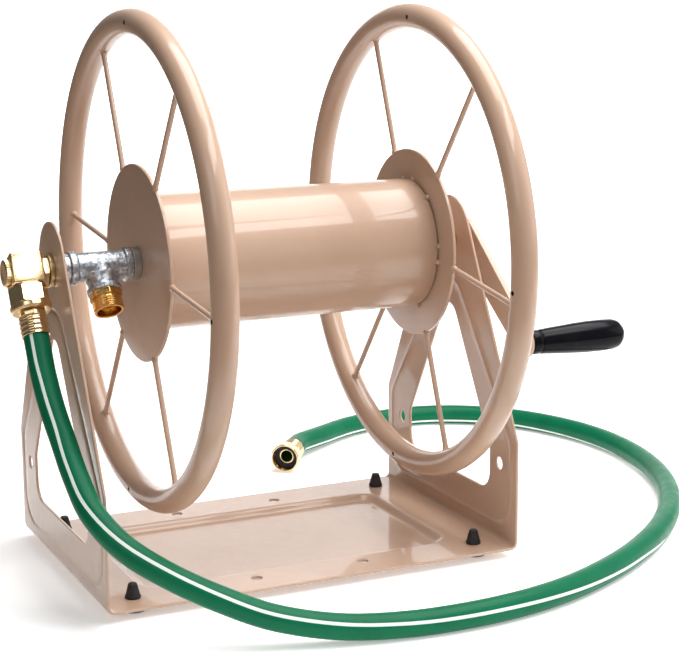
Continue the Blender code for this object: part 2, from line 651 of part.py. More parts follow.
def build_inlet_coupling():
    """Hose coupling on the elbow: nut, rubber washer and crimped tail."""
    middle = on_axle(X_ELBOW)
    place = along(ELBOW_OUT, middle)
    top = ELBOW_HALF + 0.0006
    nut_place = place @ Matrix.Translation((0, 0, top))
    nut = plate("inlet_coupling_nut", hexagon(0.030), [], COUPLING_NUT, BRASS, nut_place)
    start, end = FLANGE
    flange = [(0, start), (FLANGE_RADIUS - 0.0015, start), (FLANGE_RADIUS, start + 0.0015),
              (FLANGE_RADIUS, end - 0.0020), (FLANGE_RADIUS - 0.0015, end), (0, end)]
    combine(nut, lathe("nut_flange", flange, 24, BRASS, place), "UNION")
    shoulder = middle + ELBOW_OUT * NUT_SHOULDER
    bore = rod("nut_bore", THREAD_RADIUS + GAP, middle, shoulder, 24, BRASS)
    combine(nut, bore, "DIFFERENCE")
    beyond = middle + ELBOW_OUT * (end + 0.003)
    neck = rod("nut_neck", NECK_RADIUS + GAP, middle, beyond, 20, BRASS)
    combine(nut, neck, "DIFFERENCE")
    washer = [(0.0082, 0.0273), (0.0132, 0.0273), (0.0132, 0.0297), (0.0082, 0.0297)]
    lathe("inlet_washer", washer, 20, RUBBER, place, hollow=True)
    end = HOSE_START - GAP
    tail = [(WATER_BORE, 0.0300), (TAIL_FLANGE_RADIUS, 0.0300), (TAIL_FLANGE_RADIUS, 0.0318),
            (NECK_RADIUS, 0.0318), (NECK_RADIUS, 0.0373), (TAIL_COLLAR_RADIUS, 0.0373),
            (TAIL_COLLAR_RADIUS, 0.0410), (FERRULE_RADIUS, 0.0410), (FERRULE_RADIUS, end),
            (WATER_BORE, end)]
    lathe("inlet_ferrule", tail, 20, BRASS, place, hollow=True)


# ---------------------------------------------------------------- hose
def mouth_point():
    return Vector((DRUM_X + MOUTH[0], MOUTH[1], COUPLING_Z))


def hose_route():
    """Points chosen along the hose: out of the elbow, down past the frame, round on the floor."""
    start = on_axle(X_ELBOW) + ELBOW_OUT * HOSE_START
    end = mouth_point() - MOUTH_DIRECTION * HOSE_END
    lying = HOSE_RADIUS + GAP
    return [start, start + ELBOW_OUT * 0.030,
            Vector((-0.2580, -0.0620, 0.1745)), Vector((-0.2545, -0.0820, 0.1480)),
            Vector((-0.2525, -0.1080, 0.1235)), Vector((-0.2480, -0.1400, 0.0995)),
            Vector((-0.2310, -0.1710, 0.0770)), Vector((-0.2020, -0.1970, 0.0575)),
            Vector((-0.1680, -0.2170, 0.0400)), Vector((-0.1290, -0.2360, 0.0245)),
            Vector((-0.0790, -0.2530, 0.0145)), Vector((-0.0250, -0.2640, lying)),
            Vector((0.0300, -0.2680, lying)), Vector((0.0850, -0.2630, lying)),
            Vector((0.1380, -0.2490, lying)), Vector((0.1880, -0.2270, lying)),
            Vector((0.2360, -0.1990, lying)), Vector((0.2830, -0.1640, lying)),
            Vector((0.3250, -0.1250, lying)), Vector((0.3620, -0.0800, lying)),
            Vector((0.3940, -0.0280, lying)), Vector((0.4180, 0.0300, lying)),
            Vector((0.4320, 0.0900, lying)), Vector((0.4350, 0.1520, lying)),
            Vector((0.4240, 0.2130, lying)), Vector((0.3980, 0.2700, lying)),
            Vector((0.3580, 0.3140, lying)), Vector((0.3070, 0.3400, lying)),
            Vector((0.2520, 0.3440, lying)), Vector((0.1990, 0.3290, 0.0120)),
            Vector((0.1530, 0.3010, 0.0135)), end - MOUTH_DIRECTION * 0.024, end]


def smooth_path(route, step):
    """Straight first and last stretches, and between them even steps on a smooth curve."""
    fine = []
    for a, b, c, d in zip(route, route[1:], route[2:], route[3:]):
        for i in range(16):
            t = i / 16
            fine.append(0.5 * (2 * b + (c - a) * t + (2 * a - 5 * b + 4 * c - d) * t ** 2
                               + (3 * b - a - 3 * c + d) * t ** 3))
    fine.append(route[-2])
    lengths = [0.0]
    for a, b in zip(fine, fine[1:]):
        lengths.append(lengths[-1] + (b - a).length)
    count = round(lengths[-1] / step)
    path = [route[0]]
    k = 0
    for i in range(count + 1):
        wanted = lengths[-1] * i / count
        while k < len(fine) - 2 and lengths[k + 1] < wanted:
            k += 1
        part = (wanted - lengths[k]) / (lengths[k + 1] - lengths[k])
        path.append(fine[k].lerp(fine[k + 1], part))
    return [*path, route[-1]]


def build_hose():
    path = smooth_path(hose_route(), HOSE_STEP)
    curve = bpy.data.curves.new("leader_hose", "CURVE")
    curve.dimensions = "3D"
    curve.bevel_depth = HOSE_RADIUS
    curve.bevel_resolution = 3
    curve.use_fill_caps = True
    spline = curve.splines.new("POLY")
    spline.points.add(len(path) - 1)
    for point, place in zip(spline.points, path):
        point.co = (*place, 1)
    curve.materials.append(HOSE_GREEN)
    hose = bpy.data.objects.new("leader_hose", curve)
    bpy.context.scene.collection.objects.link(hose)


def build_far_coupling():
    """Open female coupling on the free end of the hose, lying on the floor."""
    place = along(-MOUTH_DIRECTION, mouth_point())
    thread = THREAD_RADIUS + GAP
    neck = NECK_RADIUS + GAP
    nut = [(thread, 0), (FAR_NUT_RADIUS - 0.0007, 0), (FAR_NUT_RADIUS, 0.0008),
           (FAR_NUT_RADIUS, FAR_NUT - 0.0015), (FAR_NUT_RADIUS - 0.0015, FAR_NUT),
           (neck, FAR_NUT), (neck, FAR_NUT_SHOULDER), (thread, FAR_NUT_SHOULDER)]
    lathe("far_coupling_nut", nut, 24, BRASS, place, hollow=True)
    washer = [(0.0080, 0.0072), (0.0130, 0.0072), (0.0130, 0.0093), (0.0080, 0.0093)]
    lathe("far_washer", washer, 20, RUBBER, place, hollow=True)
    end = HOSE_END - GAP
    flange_end = FAR_NUT_SHOULDER - 0.0004
    collar = TAIL_COLLAR_RADIUS - 0.0002
    ferrule = FERRULE_RADIUS - 0.0001
    tail = [(WATER_BORE, 0.0096), (0.0130, 0.0096), (0.0130, flange_end),
            (NECK_RADIUS, flange_end), (NECK_RADIUS, FAR_NUT + GAP), (collar, FAR_NUT + GAP),
            (collar, 0.0190), (ferrule, 0.0190), (ferrule, end), (WATER_BORE, end)]
    lathe("far_ferrule", tail, 20, BRASS, place, hollow=True)


build_base()
build_upright("left_upright", X_LEFT_FACE, -1, LEFT_BUSH_RADIUS + GAP)
build_upright("right_upright", X_RIGHT_FACE, 1, RIGHT_BUSH_RADIUS + GAP)
build_feet()
build_bushes()
build_wheel("left", -WHEEL_X, LEFT_SPOKE_ANGLE, 0.0110)
build_wheel("right", WHEEL_X, RIGHT_SPOKE_ANGLE, SHAFT_RADIUS + GAP)
build_drum()
build_inlet_nipple()
build_tee()
build_hub_collar()
build_outlet()
build_crank()
build_grip()
build_elbow()
build_inlet_coupling()
build_hose()
build_far_coupling()
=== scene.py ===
"""Looks of the garden hose reel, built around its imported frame. Metres, +Z up.

Profiles of turned pieces are in millimetres, as (radius, distance along the axis).
Angles round the axle are measured from the top towards the front.
"""
import math

import bmesh
import bpy
import numpy as np
from mathutils import Matrix, Vector, noise
from mathutils.geometry import delaunay_2d_cdt


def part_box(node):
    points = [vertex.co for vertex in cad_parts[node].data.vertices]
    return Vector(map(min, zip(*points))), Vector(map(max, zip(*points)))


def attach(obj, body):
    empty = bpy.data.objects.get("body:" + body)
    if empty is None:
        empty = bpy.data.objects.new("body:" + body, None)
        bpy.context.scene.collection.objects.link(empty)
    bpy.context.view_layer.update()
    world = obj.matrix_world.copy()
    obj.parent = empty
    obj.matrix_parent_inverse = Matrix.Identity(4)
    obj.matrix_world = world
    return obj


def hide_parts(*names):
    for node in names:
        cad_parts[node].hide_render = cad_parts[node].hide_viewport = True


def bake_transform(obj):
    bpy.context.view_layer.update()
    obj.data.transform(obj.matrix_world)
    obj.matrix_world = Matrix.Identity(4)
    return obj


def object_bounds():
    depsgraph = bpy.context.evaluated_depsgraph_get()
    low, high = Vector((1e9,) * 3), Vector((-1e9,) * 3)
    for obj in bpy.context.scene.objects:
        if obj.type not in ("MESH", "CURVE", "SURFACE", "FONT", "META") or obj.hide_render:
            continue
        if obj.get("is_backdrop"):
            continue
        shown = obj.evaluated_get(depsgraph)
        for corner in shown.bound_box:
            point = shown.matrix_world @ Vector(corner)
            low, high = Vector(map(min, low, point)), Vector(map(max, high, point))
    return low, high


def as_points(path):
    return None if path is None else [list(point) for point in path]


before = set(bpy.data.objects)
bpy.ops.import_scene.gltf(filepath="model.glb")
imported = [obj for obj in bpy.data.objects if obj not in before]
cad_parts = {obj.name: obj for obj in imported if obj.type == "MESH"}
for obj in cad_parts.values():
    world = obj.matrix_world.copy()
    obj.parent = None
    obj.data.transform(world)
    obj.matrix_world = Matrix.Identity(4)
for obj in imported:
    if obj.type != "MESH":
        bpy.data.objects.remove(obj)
cad_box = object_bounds()


# ---------------------------------------------------------------- places read from the frame
def centre(node):
    low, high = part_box(node)
    return (low + high) / 2


def size(node):
    low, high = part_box(node)
    return high - low


MM = 0.001
AXLE = centre("drum")
DRUM_X = AXLE.x
DRUM_RADIUS = size("drum").z / 2
RIM_TUBE = size("left_rim").x / 2
RIM_RADIUS = size("left_rim").z / 2 - RIM_TUBE
HUB_RADIUS = size("left_hub_disc").z / 2
SPOKE_RADIUS = size("left_spoke_1").x / 2
BASE_MIDDLE = centre("base_pan").x
BASE_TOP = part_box("base_pan")[1].z
BASE_HALF = size("base_pan").y / 2
SHEET_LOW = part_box("left_upright")[0].z
LEFT_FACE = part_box("left_upright")[0].x
RIGHT_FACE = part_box("right_upright")[1].x
X_TEE = centre("pipe_tee").x
X_ELBOW = centre("elbow_body").x

# shapes that a box can't tell
SHEET = 0.0025
BEND = 0.0065                     # outer radius where an upright meets the base
EDGE = 0.0007                     # rounding of cut sheet edges under the paint
SHOULDER = 0.099                  # heights of the uprights above the top of the base
HEAD = 0.2735
HEAD_RADIUS = 0.0388
WINDOW = (0.082, 0.0425, 0.084, 0.192, 0.016)      # half width, bottom, shoulder, head, radius
PRESSING = (0.1215, 0.0140, 0.096, 0.200, 0.034)   # raised line round the window
WALL_HOLE = (0.0995, 0.0725)
WALL_HOLE_RADIUS = 0.006
BUSH_HOLES = {-1: 0.0133, 1: 0.0113}
RECESS_HALF = (0.152, 0.087)
RECESS_CORNER = 0.020
RECESS_DEPTH = 0.0055
RECESS_SLOPE = 0.010
LINE_HALF = 0.0032                # half width and height of the pressed line
LINE_HEIGHT = 0.0011
FLOOR_SCREW = (0.0517, 0.1035)
FLOOR_SCREW_RADIUS = 0.005
FOOT = (0.1655, 0.1035)
FOOT_HOLE_RADIUS = 0.005
SPOKE_ANGLES = {"left": math.radians(35.5), "right": math.radians(38.5)}
VENT_ANGLE = math.radians(4)
TACKS = ((-12, 0.0019), (8, 0.0019), (40, 0.0028), (86, 0.0015), (100, 0.0026), (160, 0.0026),
         (220, 0.0026), (280, 0.0026))    # degrees and thickness
ELBOW_TILT = math.radians(30)
TEE_TILT = math.radians(37)
HOSE_RADIUS = 0.011
HOSE_START = 0.0593               # from the middle of the elbow, along its outlet
HOSE_END = 0.0393                 # from the open end of the far coupling
MOUTH_DIRECTION = Vector((-0.60, -0.80, 0))
MOUTH = Vector((0.074, 0.222, 0.0158))
GRIP_AXIS = Vector((0, -0.111, -0.0832))           # from the axle
ARM_X = 0.1935
ARM_THICKNESS = 0.005
ARM_HEAD_RADIUS = 0.018
ARM_END_RADIUS = 0.0135


def on_axle(x):
    """Point on the axle at a distance x from the middle of the drum."""
    return AXLE + Vector((x, 0, 0))


def tilted(angle):
    """Unit vector that points down, turned by the angle towards the front."""
    return Vector((0, -math.sin(angle), -math.cos(angle)))


ALONG_X = Matrix(((0, 0, 1), (1, 0, 0), (0, 1, 0))).to_4x4()
ELBOW_OUT = tilted(ELBOW_TILT)
TEE_OUT = tilted(TEE_TILT)


def axle_place(x=0.0):
    """Placement whose local Z runs along the axle."""
    return Matrix.Translation(on_axle(x)) @ ALONG_X


def grip_place():
    return Matrix.Translation(on_axle(0) + GRIP_AXIS) @ ALONG_X


def along(direction, origin):
    turn = direction.to_track_quat("Z", "X").to_matrix()
    return Matrix.Translation(origin) @ turn.to_4x4()


def put_in_scene(name, data, placement):
    item = bpy.data.objects.new(name, data)
    item.matrix_world = placement
    bpy.context.scene.collection.objects.link(item)
    return item


# ---------------------------------------------------------------- camera
CAMERA_AT = Vector((-0.6394, -1.4698, 0.5321))
CAMERA_TURN = 0.4320              # from +Y towards +X
CAMERA_DIP = 0.2012
CAMERA_ROLL = -0.0077
CAMERA_LENS = 93.18


def add_camera():
    forward = Vector((math.sin(CAMERA_TURN) * math.cos(CAMERA_DIP),
                      math.cos(CAMERA_TURN) * math.cos(CAMERA_DIP), -math.sin(CAMERA_DIP)))
    right = Vector((math.cos(CAMERA_TURN), -math.sin(CAMERA_TURN), 0))
    level = Matrix((right, right.cross(forward), -forward)).transposed()
    turn = level @ Matrix.Rotation(CAMERA_ROLL, 3, "Z")
    data = bpy.data.cameras.new("camera")
    data.lens = CAMERA_LENS
    data.sensor_fit = "HORIZONTAL"
    placement = Matrix.Translation(CAMERA_AT) @ turn.to_4x4()
    bpy.context.scene.camera = put_in_scene("camera", data, placement)


# ---------------------------------------------------------------- materials
NOISE_LOW = 0.3                   # most noise lies between these
NOISE_HIGH = 0.7


def put(tree, socket, value):
    """Set a socket to a number or colour, or link another node's output to it."""
    if isinstance(value, bpy.types.NodeSocket):
        tree.links.new(value, socket)
    else:
        socket.default_value = value


def add_node(tree, kind, inputs=None, **settings):
    node = tree.nodes.new("ShaderNode" + kind)
    for name, value in settings.items():
        setattr(node, name, value)
    for socket, value in (inputs or {}).items():
        put(tree, node.inputs[socket], value)
    return node


class Surface:
    """A Principled material with a short way to add noise to its colour, gloss and height."""

    def __init__(self, name, colour, roughness, metallic=0.0, specular=0.5, coat=0.0,
                 coat_roughness=0.1):
        self.material = bpy.data.materials.new(name)
        self.material.use_nodes = True
        self.tree = self.material.node_tree
        self.shader = self.tree.nodes["Principled BSDF"]
        for socket, value in (("Base Color", (*colour, 1)), ("Roughness", roughness),
                              ("Metallic", metallic), ("Specular IOR Level", specular),
                              ("Coat Weight", coat), ("Coat Roughness", coat_roughness)):
            self.put(socket, value)
        self.coordinates = self.node("TexCoord").outputs["Object"]

    def put(self, socket, value):
        put(self.tree, self.shader.inputs[socket], value)

    def node(self, kind, inputs=None, **settings):
        return add_node(self.tree, kind, inputs, **settings)

    def noise(self, scale, detail, stretch=(1, 1, 1)):
        mapping = self.node("Mapping", {"Vector": self.coordinates, "Scale": stretch})
        texture = self.node("TexNoise", {"Vector": mapping.outputs["Vector"], "Scale": scale,
                                         "Detail": detail})
        return texture.outputs["Fac"]

    def cells(self, scale):
        texture = self.node("TexVoronoi", {"Vector": self.coordinates, "Scale": scale})
        return self.node("SeparateColor", {"Color": texture.outputs["Color"]}).outputs["Red"]

    def spread(self, value, low, high, start=NOISE_LOW, end=NOISE_HIGH):
        ranged = self.node("MapRange", {"Value": value, "From Min": start, "From Max": end,
                                        "To Min": low, "To Max": high})
        return ranged.outputs["Result"]

    def colours(self, value, first, second):
        ramp = self.node("ValToRGB", {"Fac": value})
        stops = zip(ramp.color_ramp.elements, (NOISE_LOW, NOISE_HIGH), (first, second))
        for stop, place, colour in stops:
            stop.position = place
            stop.color = (*colour, 1)
        self.put("Base Color", ramp.outputs["Color"])

    def gloss(self, value, low, high):
        self.put("Roughness", self.spread(value, low, high))

    def height(self, value, distance):
        bump = self.node("Bump", {"Height": value, "Distance": distance})
        for earlier in self.shader.inputs["Normal"].links:
            put(self.tree, bump.inputs["Normal"], earlier.from_socket)
        self.put("Normal", bump.outputs["Normal"])


def noisy_look(name, colour, roughness, colours, gloss, height, **more):
    """Material with noise in colour, gloss and height, each led by (scale, detail, stretch)."""
    surface = Surface(name, colour, roughness, **more)
    for vary, (noise_settings, *ends) in ((surface.colours, colours), (surface.gloss, gloss),
                                          (surface.height, height)):
        vary(surface.noise(*noise_settings), *ends)
    return surface.material


def brass_look(name, first, second):
    """Turned brass: fine rings round local Z and a little tarnish."""
    return noisy_look(name, first, 0.2, ((160, 4), first, second),
                      ((60, 4, (1, 1, 30)), 0.12, 0.26), ((90, 3, (1, 1, 40)), 0.00003),
                      metallic=1.0)


def hose_look(name, first, second):
    """Smooth extruded vinyl."""
    return noisy_look(name, first, 0.38, ((35, 4), first, second), ((90, 3), 0.30, 0.42),
                      ((260, 3), 0.00008), specular=0.12)


def galvanised_look():
    """Hot-dipped zinc on cast iron: spangle, dull patches and a lumpy skin."""
    zinc = Surface("galvanised_look", (0.5, 0.53, 0.57), 0.35, metallic=0.9)
    zinc.colours(zinc.cells(420), (0.36, 0.39, 0.43), (0.62, 0.66, 0.71))
    zinc.gloss(zinc.noise(300, 4), 0.22, 0.48)
    zinc.height(zinc.noise(260, 4), 0.0007)
    zinc.height(zinc.noise(1500, 3), 0.00008)
    return zinc.material


# glossy powder coat with faint orange peel and cloudy colour
PAINT = noisy_look("tan_paint_look", (0.54, 0.36, 0.26), 0.36,
                   ((9, 4), (0.505, 0.335, 0.238), (0.545, 0.372, 0.272)),
                   ((120, 2), 0.28, 0.38), ((260, 1), 0.000012),
                   specular=0.3, coat=0.5, coat_roughness=0.05)
BRASS = brass_look("brass_look", (0.84, 0.62, 0.33), (0.93, 0.74, 0.45))
YELLOW_BRASS = brass_look("yellow_brass_look", (0.74, 0.42, 0.12), (0.86, 0.55, 0.20))
GALVANISED = galvanised_look()
DULL_IRON = noisy_look("grey_casting_look", (0.40, 0.38, 0.36), 0.55,
                       ((120, 5), (0.33, 0.315, 0.30), (0.46, 0.44, 0.415)),
                       ((240, 4), 0.45, 0.65), ((700, 4), 0.00018), metallic=0.55)
STEEL = noisy_look("zinc_steel_look", (0.62, 0.62, 0.60), 0.3,
                   ((200, 3), (0.55, 0.55, 0.53), (0.68, 0.68, 0.67)),
                   ((80, 3, (1, 1, 20)), 0.2, 0.38), ((120, 3, (1, 1, 30)), 0.00002),
                   metallic=1.0)
GRIP_BLACK = noisy_look("grip_plastic_look", (0.004, 0.004, 0.006), 0.2,
                        ((60, 3), (0.003, 0.003, 0.005), (0.006, 0.006, 0.008)),
                        ((120, 2), 0.16, 0.22), ((300, 2), 0.00001), specular=0.1)
# black rubber of the feet and seals; the walls of the rims' vent holes wear it too, as painted
# shade
RUBBER_AND_HOLE_SHADE = noisy_look("black_rubber_and_hole_shade_look", (0.012, 0.011, 0.013), 0.6,
                    ((200, 4), (0.009, 0.009, 0.010), (0.020, 0.018, 0.020)),
                    ((900, 3), 0.5, 0.75), ((2200, 3), 0.00005))
NYLON = noisy_look("nylon_look", (0.72, 0.71, 0.66), 0.45,
                   ((150, 3), (0.68, 0.67, 0.61), (0.75, 0.74, 0.70)),
                   ((800, 2), 0.38, 0.52), ((1800, 2), 0.00002))
HOSE_GREEN = hose_look("hose_green_look", (0.003, 0.125, 0.055), (0.004, 0.148, 0.066))
HOSE_WHITE = hose_look("hose_stripe_look", (0.74, 0.82, 0.76), (0.80, 0.87, 0.81))


# ---------------------------------------------------------------- pieces
def new_piece(name, vertices, faces, finish, placement=Matrix(), sharp=35):
    """Closed mesh, smooth but for edges sharper than the given degrees."""
    mesh = bpy.data.meshes.new(name)
    mesh.from_pydata(vertices, [], faces)
    bm = bmesh.new()
    bm.from_mesh(mesh)
    bmesh.ops.recalc_face_normals(bm, faces=bm.faces[:])
    bm.to_mesh(mesh)
    bm.free()
    mesh.materials.append(finish)
    mesh.shade_smooth()
    mesh.set_sharp_from_angle(angle=math.radians(sharp))
    return put_in_scene(name, mesh, placement)


def settle(piece, body, *nodes):
    """Let the piece move with a body and stand for CAD nodes."""
    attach(piece, body)
    if nodes:
        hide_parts(*nodes)
    return piece


def settle_turned(body, node, *lathe, **more):
    """Turned piece that moves with a body and stands for one CAD node."""
    return settle(turned(*lathe, **more), body, node)


def fresh_mesh(piece):
    """Turn a piece's modifiers into plain mesh, and drop the cutters they used."""
    cutters = [step.object for step in piece.modifiers if step.type == "BOOLEAN"]
    evaluated = piece.evaluated_get(bpy.context.evaluated_depsgraph_get())
    mesh = bpy.data.meshes.new_from_object(evaluated)
    piece.modifiers.clear()
    piece.data = mesh
    mesh.shade_smooth()
    mesh.set_sharp_from_angle(angle=math.radians(35))
    for cutter in cutters:
        bpy.data.objects.remove(cutter)
    return piece


def combine(piece, tool, operation):
    step = piece.modifiers.new(tool.name, "BOOLEAN")
    step.operation = operation
    step.solver = "EXACT"
    step.object = tool


def fillet(points, edge, closed):
    """Replace the corners of an outline by short curves of about the given size."""
    if edge == 0:
        return [Vector(point) for point in points]
    outline = []
    last = len(points) - 1
    for i, point in enumerate(points):
        here = Vector(point)
        if not closed and i in (0, last):
            outline.append(here)
            continue
        back = Vector(points[i - 1]) - here
        ahead = Vector(points[(i + 1) % len(points)]) - here
        if back.angle(ahead) > math.radians(165):
            outline.append(here)
            continue
        first = here + back.normalized() * min(edge, back.length * 0.45)
        final = here + ahead.normalized() * min(edge, ahead.length * 0.45)
        for t in (0, 0.25, 0.5, 0.75, 1):
            outline.append(first.lerp(here, t).lerp(here.lerp(final, t), t))
    return outline


def denser(points, step, closed):
    """The same outline with no stretch longer than the step."""
    ring = list(points)
    pairs = zip(ring, ring[1:] + ring[:1]) if closed else zip(ring, ring[1:])
    result = []
    for a, b in pairs:
        count = max(1, math.ceil((b - a).length / step))
        result += [a.lerp(b, i / count) for i in range(count)]
    if not closed:
        result.append(ring[-1])
    return result


def turned(name, profile, placement, finish, edge=0.3, segments=72, shape=None, step=None):
    """Lathe a profile in millimetres round local Z. A shape changes the radius point by point.

    A profile that starts on the axis ends there too. Any other is closed into a ring.
    """
    closed = profile[0][0] > 0
    outline = fillet(profile, edge, closed)
    if step:
        outline = denser(outline, step, closed)
    vertices = []
    rings = []
    for radius, height in outline:
        count = 1 if radius < 1e-6 else segments
        rings.append(range(len(vertices), len(vertices) + count))
        for i in range(count):
            angle = math.tau * i / segments
            reach = shape(radius, height, angle) if shape and count > 1 else radius
            vertices.append((reach * math.cos(angle) * MM, reach * math.sin(angle) * MM,
                             height * MM))
    faces = []
    following = rings[1:] + rings[:1] if closed else rings[1:]
    for lower, upper in zip(rings, following):
        if len(lower) == len(upper) == 1:
            continue
        for i in range(segments):
            k = (i + 1) % segments
            corners = [lower[i % len(lower)], upper[i % len(upper)],
                       upper[k % len(upper)], lower[k % len(lower)]]
            faces.append(list(dict.fromkeys(corners)))
    return new_piece(name, vertices, faces, finish, placement)


def bar(outer, start, end, inner=0):
    """Profile of a plain bar or tube."""
    return [(inner, start), (outer, start), (outer, end), (inner, end)]


def hexagonal(across_flats, turn=0.0):
    """Shape of a bar with six flats, never outside the turned profile."""
    def shape(radius, _height, angle):
        part = (angle + turn) % (math.pi / 3) - math.pi / 6
        return min(radius, across_flats / 2 / math.cos(part))
    return shape


def threaded(start, end, pitch, depth):
    """Shape with a screw thread between two heights."""
    def shape(radius, height, angle):
        fade = min(1, max(0, (height - start) / pitch)) * min(1, max(0, (end - height) / pitch))
        turn = height / pitch - angle / math.tau
        wave = 0.5 - 0.5 * math.cos(math.tau * turn)
        return radius - depth * fade * wave ** 1.3
    return shape


def crimped(start, end, rings, sides, depth):
    """Shape of a ferrule squeezed by the jaws of a press."""
    def shape(radius, height, angle):
        if not start < height < end:
            return radius
        wave = math.sin(math.pi * rings * (height - start) / (end - start))
        jaw = 0.25 * abs(math.cos(sides * angle / 2))
        return radius - depth * (wave * wave * 0.75 + jaw)
    return shape


def bead(name, points, radius, finish, closed=True, seed=0.0):
    """Weld bead: a lumpy rod along a path."""
    sides = 10
    vertices = []
    count = len(points)
    for i, point in enumerate(points):
        ahead = points[(i + 1) % count] if closed or i < count - 1 else point
        back = points[i - 1] if closed or i > 0 else point
        forward = (ahead - back).normalized()
        side = forward.orthogonal() if abs(forward.x) > 0.9 else forward.cross(Vector((1, 0, 0)))
        side.normalize()
        up = forward.cross(side)
        lump = 1 + 0.22 * noise.noise(point * 260 + Vector((seed, 0, 0)))
        end = 1.0
        if not closed:
            end = math.sqrt(max(0.03, 1 - (2 * i / (count - 1) - 1) ** 4))
        for k in range(sides):
            angle = math.tau * k / sides
            reach = radius * lump * end
            vertices.append(point + (side * math.cos(angle) + up * math.sin(angle)) * reach)
    faces = []
    for i in range(count if closed else count - 1):
        n = (i + 1) % count
        for k in range(sides):
            m = (k + 1) % sides
            faces.append((i * sides + k, n * sides + k, n * sides + m, i * sides + m))
    if not closed:
        faces.append(tuple(range(sides)))
        faces.append(tuple(range((count - 1) * sides, count * sides)))
    return new_piece(name, vertices, faces, finish, sharp=80)


# ---------------------------------------------------------------- sheet metal
def circle(radius, count, middle=(0, 0)):
    return [Vector((middle[0] + radius * math.cos(math.tau * i / count),
                    middle[1] + radius * math.sin(math.tau * i / count))) for i in range(count)]


def arc(middle, radius, start, end, steps):
    angles = [start + (end - start) * i / steps for i in range(steps + 1)]
    return [Vector((middle[0] + radius * math.cos(a), middle[1] + radius * math.sin(a)))
            for a in angles]


def rounded(points, radii, steps):
    """Outline with an arc in place of each corner that has a radius."""
    outline = []
    for i, radius in enumerate(radii):
        corner = Vector(points[i])
        if radius == 0:
            outline.append(corner)
            continue
        back = (Vector(points[i - 1]) - corner).normalized()
        ahead = (Vector(points[(i + 1) % len(points)]) - corner).normalized()
        half = back.angle(ahead) / 2
        middle = corner + (back + ahead).normalized() * radius / math.sin(half)
        first = corner + back * radius / math.tan(half) - middle
        last = corner + ahead * radius / math.tan(half) - middle
        start = math.atan2(first.y, first.x)
        turn = math.atan2(first.x * last.y - first.y * last.x, first.dot(last))
        outline += arc(middle, radius, start, start + turn, steps)
    return outline


def arch(half, bottom, shoulder, head, head_radius, bottom_corner, shoulder_corner):
    """Upright sides up to the shoulders, then straight to a round head."""
    to_head = Vector((half, head - shoulder))
    slope = math.atan2(to_head.y, to_head.x) + math.asin(head_radius / to_head.length)
    touch = slope + math.pi / 2
    top = arc((0, head), head_radius, touch, math.pi - touch, 20)
    points = [(-half, bottom), (-half, shoulder), *top, (half, shoulder), (half, bottom)]
    radii = [bottom_corner, shoulder_corner, *[0] * len(top), shoulder_corner, bottom_corner]
    return rounded(points, radii, 8)


def tapered_bar(start_radius, end, end_radius, steps):
    """Outline around a circle at the origin and a smaller one at the end point."""
    direction = math.atan2(end.y, end.x)
    touch = math.acos((start_radius - end_radius) / end.length)
    big = arc((0, 0), start_radius, direction + touch, direction - touch + math.tau, steps)
    small = arc(end, end_radius, direction - touch, direction + touch, steps)
    return big + small


def signed_area(loop):
    return sum(a.x * b.y - a.y * b.x for a, b in zip(loop, loop[1:] + loop[:1])) / 2


def facing_out(loop):
    """Unit vectors in the plane that point away from the material, on its right-hand side."""
    normals = []
    for back, here, ahead in zip(loop[-1:] + loop[:-1], loop, loop[1:] + loop[:1]):
        a = (here - back).normalized()
        b = (ahead - here).normalized()
        both = Vector((a.y + b.y, -a.x - b.x)).normalized()
        normals.append(both / max(0.5, both.dot(Vector((a.y, -a.x)))))
    return normals


def as_array(points):
    return np.array([(point[0], point[1]) for point in points])


def inside(places, loops):
    """Which places lie within an odd number of loops."""
    crossings = np.zeros(len(places), int)
    for loop in loops:
        start = as_array(loop)
        end = np.roll(start, -1, axis=0)
        for (ax, ay), (bx, by) in zip(start, end):
            if ay == by:
                continue
            spans = (places[:, 1] > ay) != (places[:, 1] > by)
            at = ax + (places[:, 1] - ay) / (by - ay) * (bx - ax)
            crossings += spans & (places[:, 0] < at)
    return crossings % 2 == 1


def distance(places, loops):
    """Distance of each place to the nearest loop."""
    nearest = np.full(len(places), 1.0)
    for loop in loops:
        start = as_array(loop)
        for a, b in zip(start, np.roll(start, -1, axis=0)):
            run = b - a
            t = np.clip(((places - a) @ run) / max(run @ run, 1e-12), 0, 1)
            gap = places - (a + t[:, None] * run)
            nearest = np.minimum(nearest, np.hypot(gap[:, 0], gap[:, 1]))
    return nearest


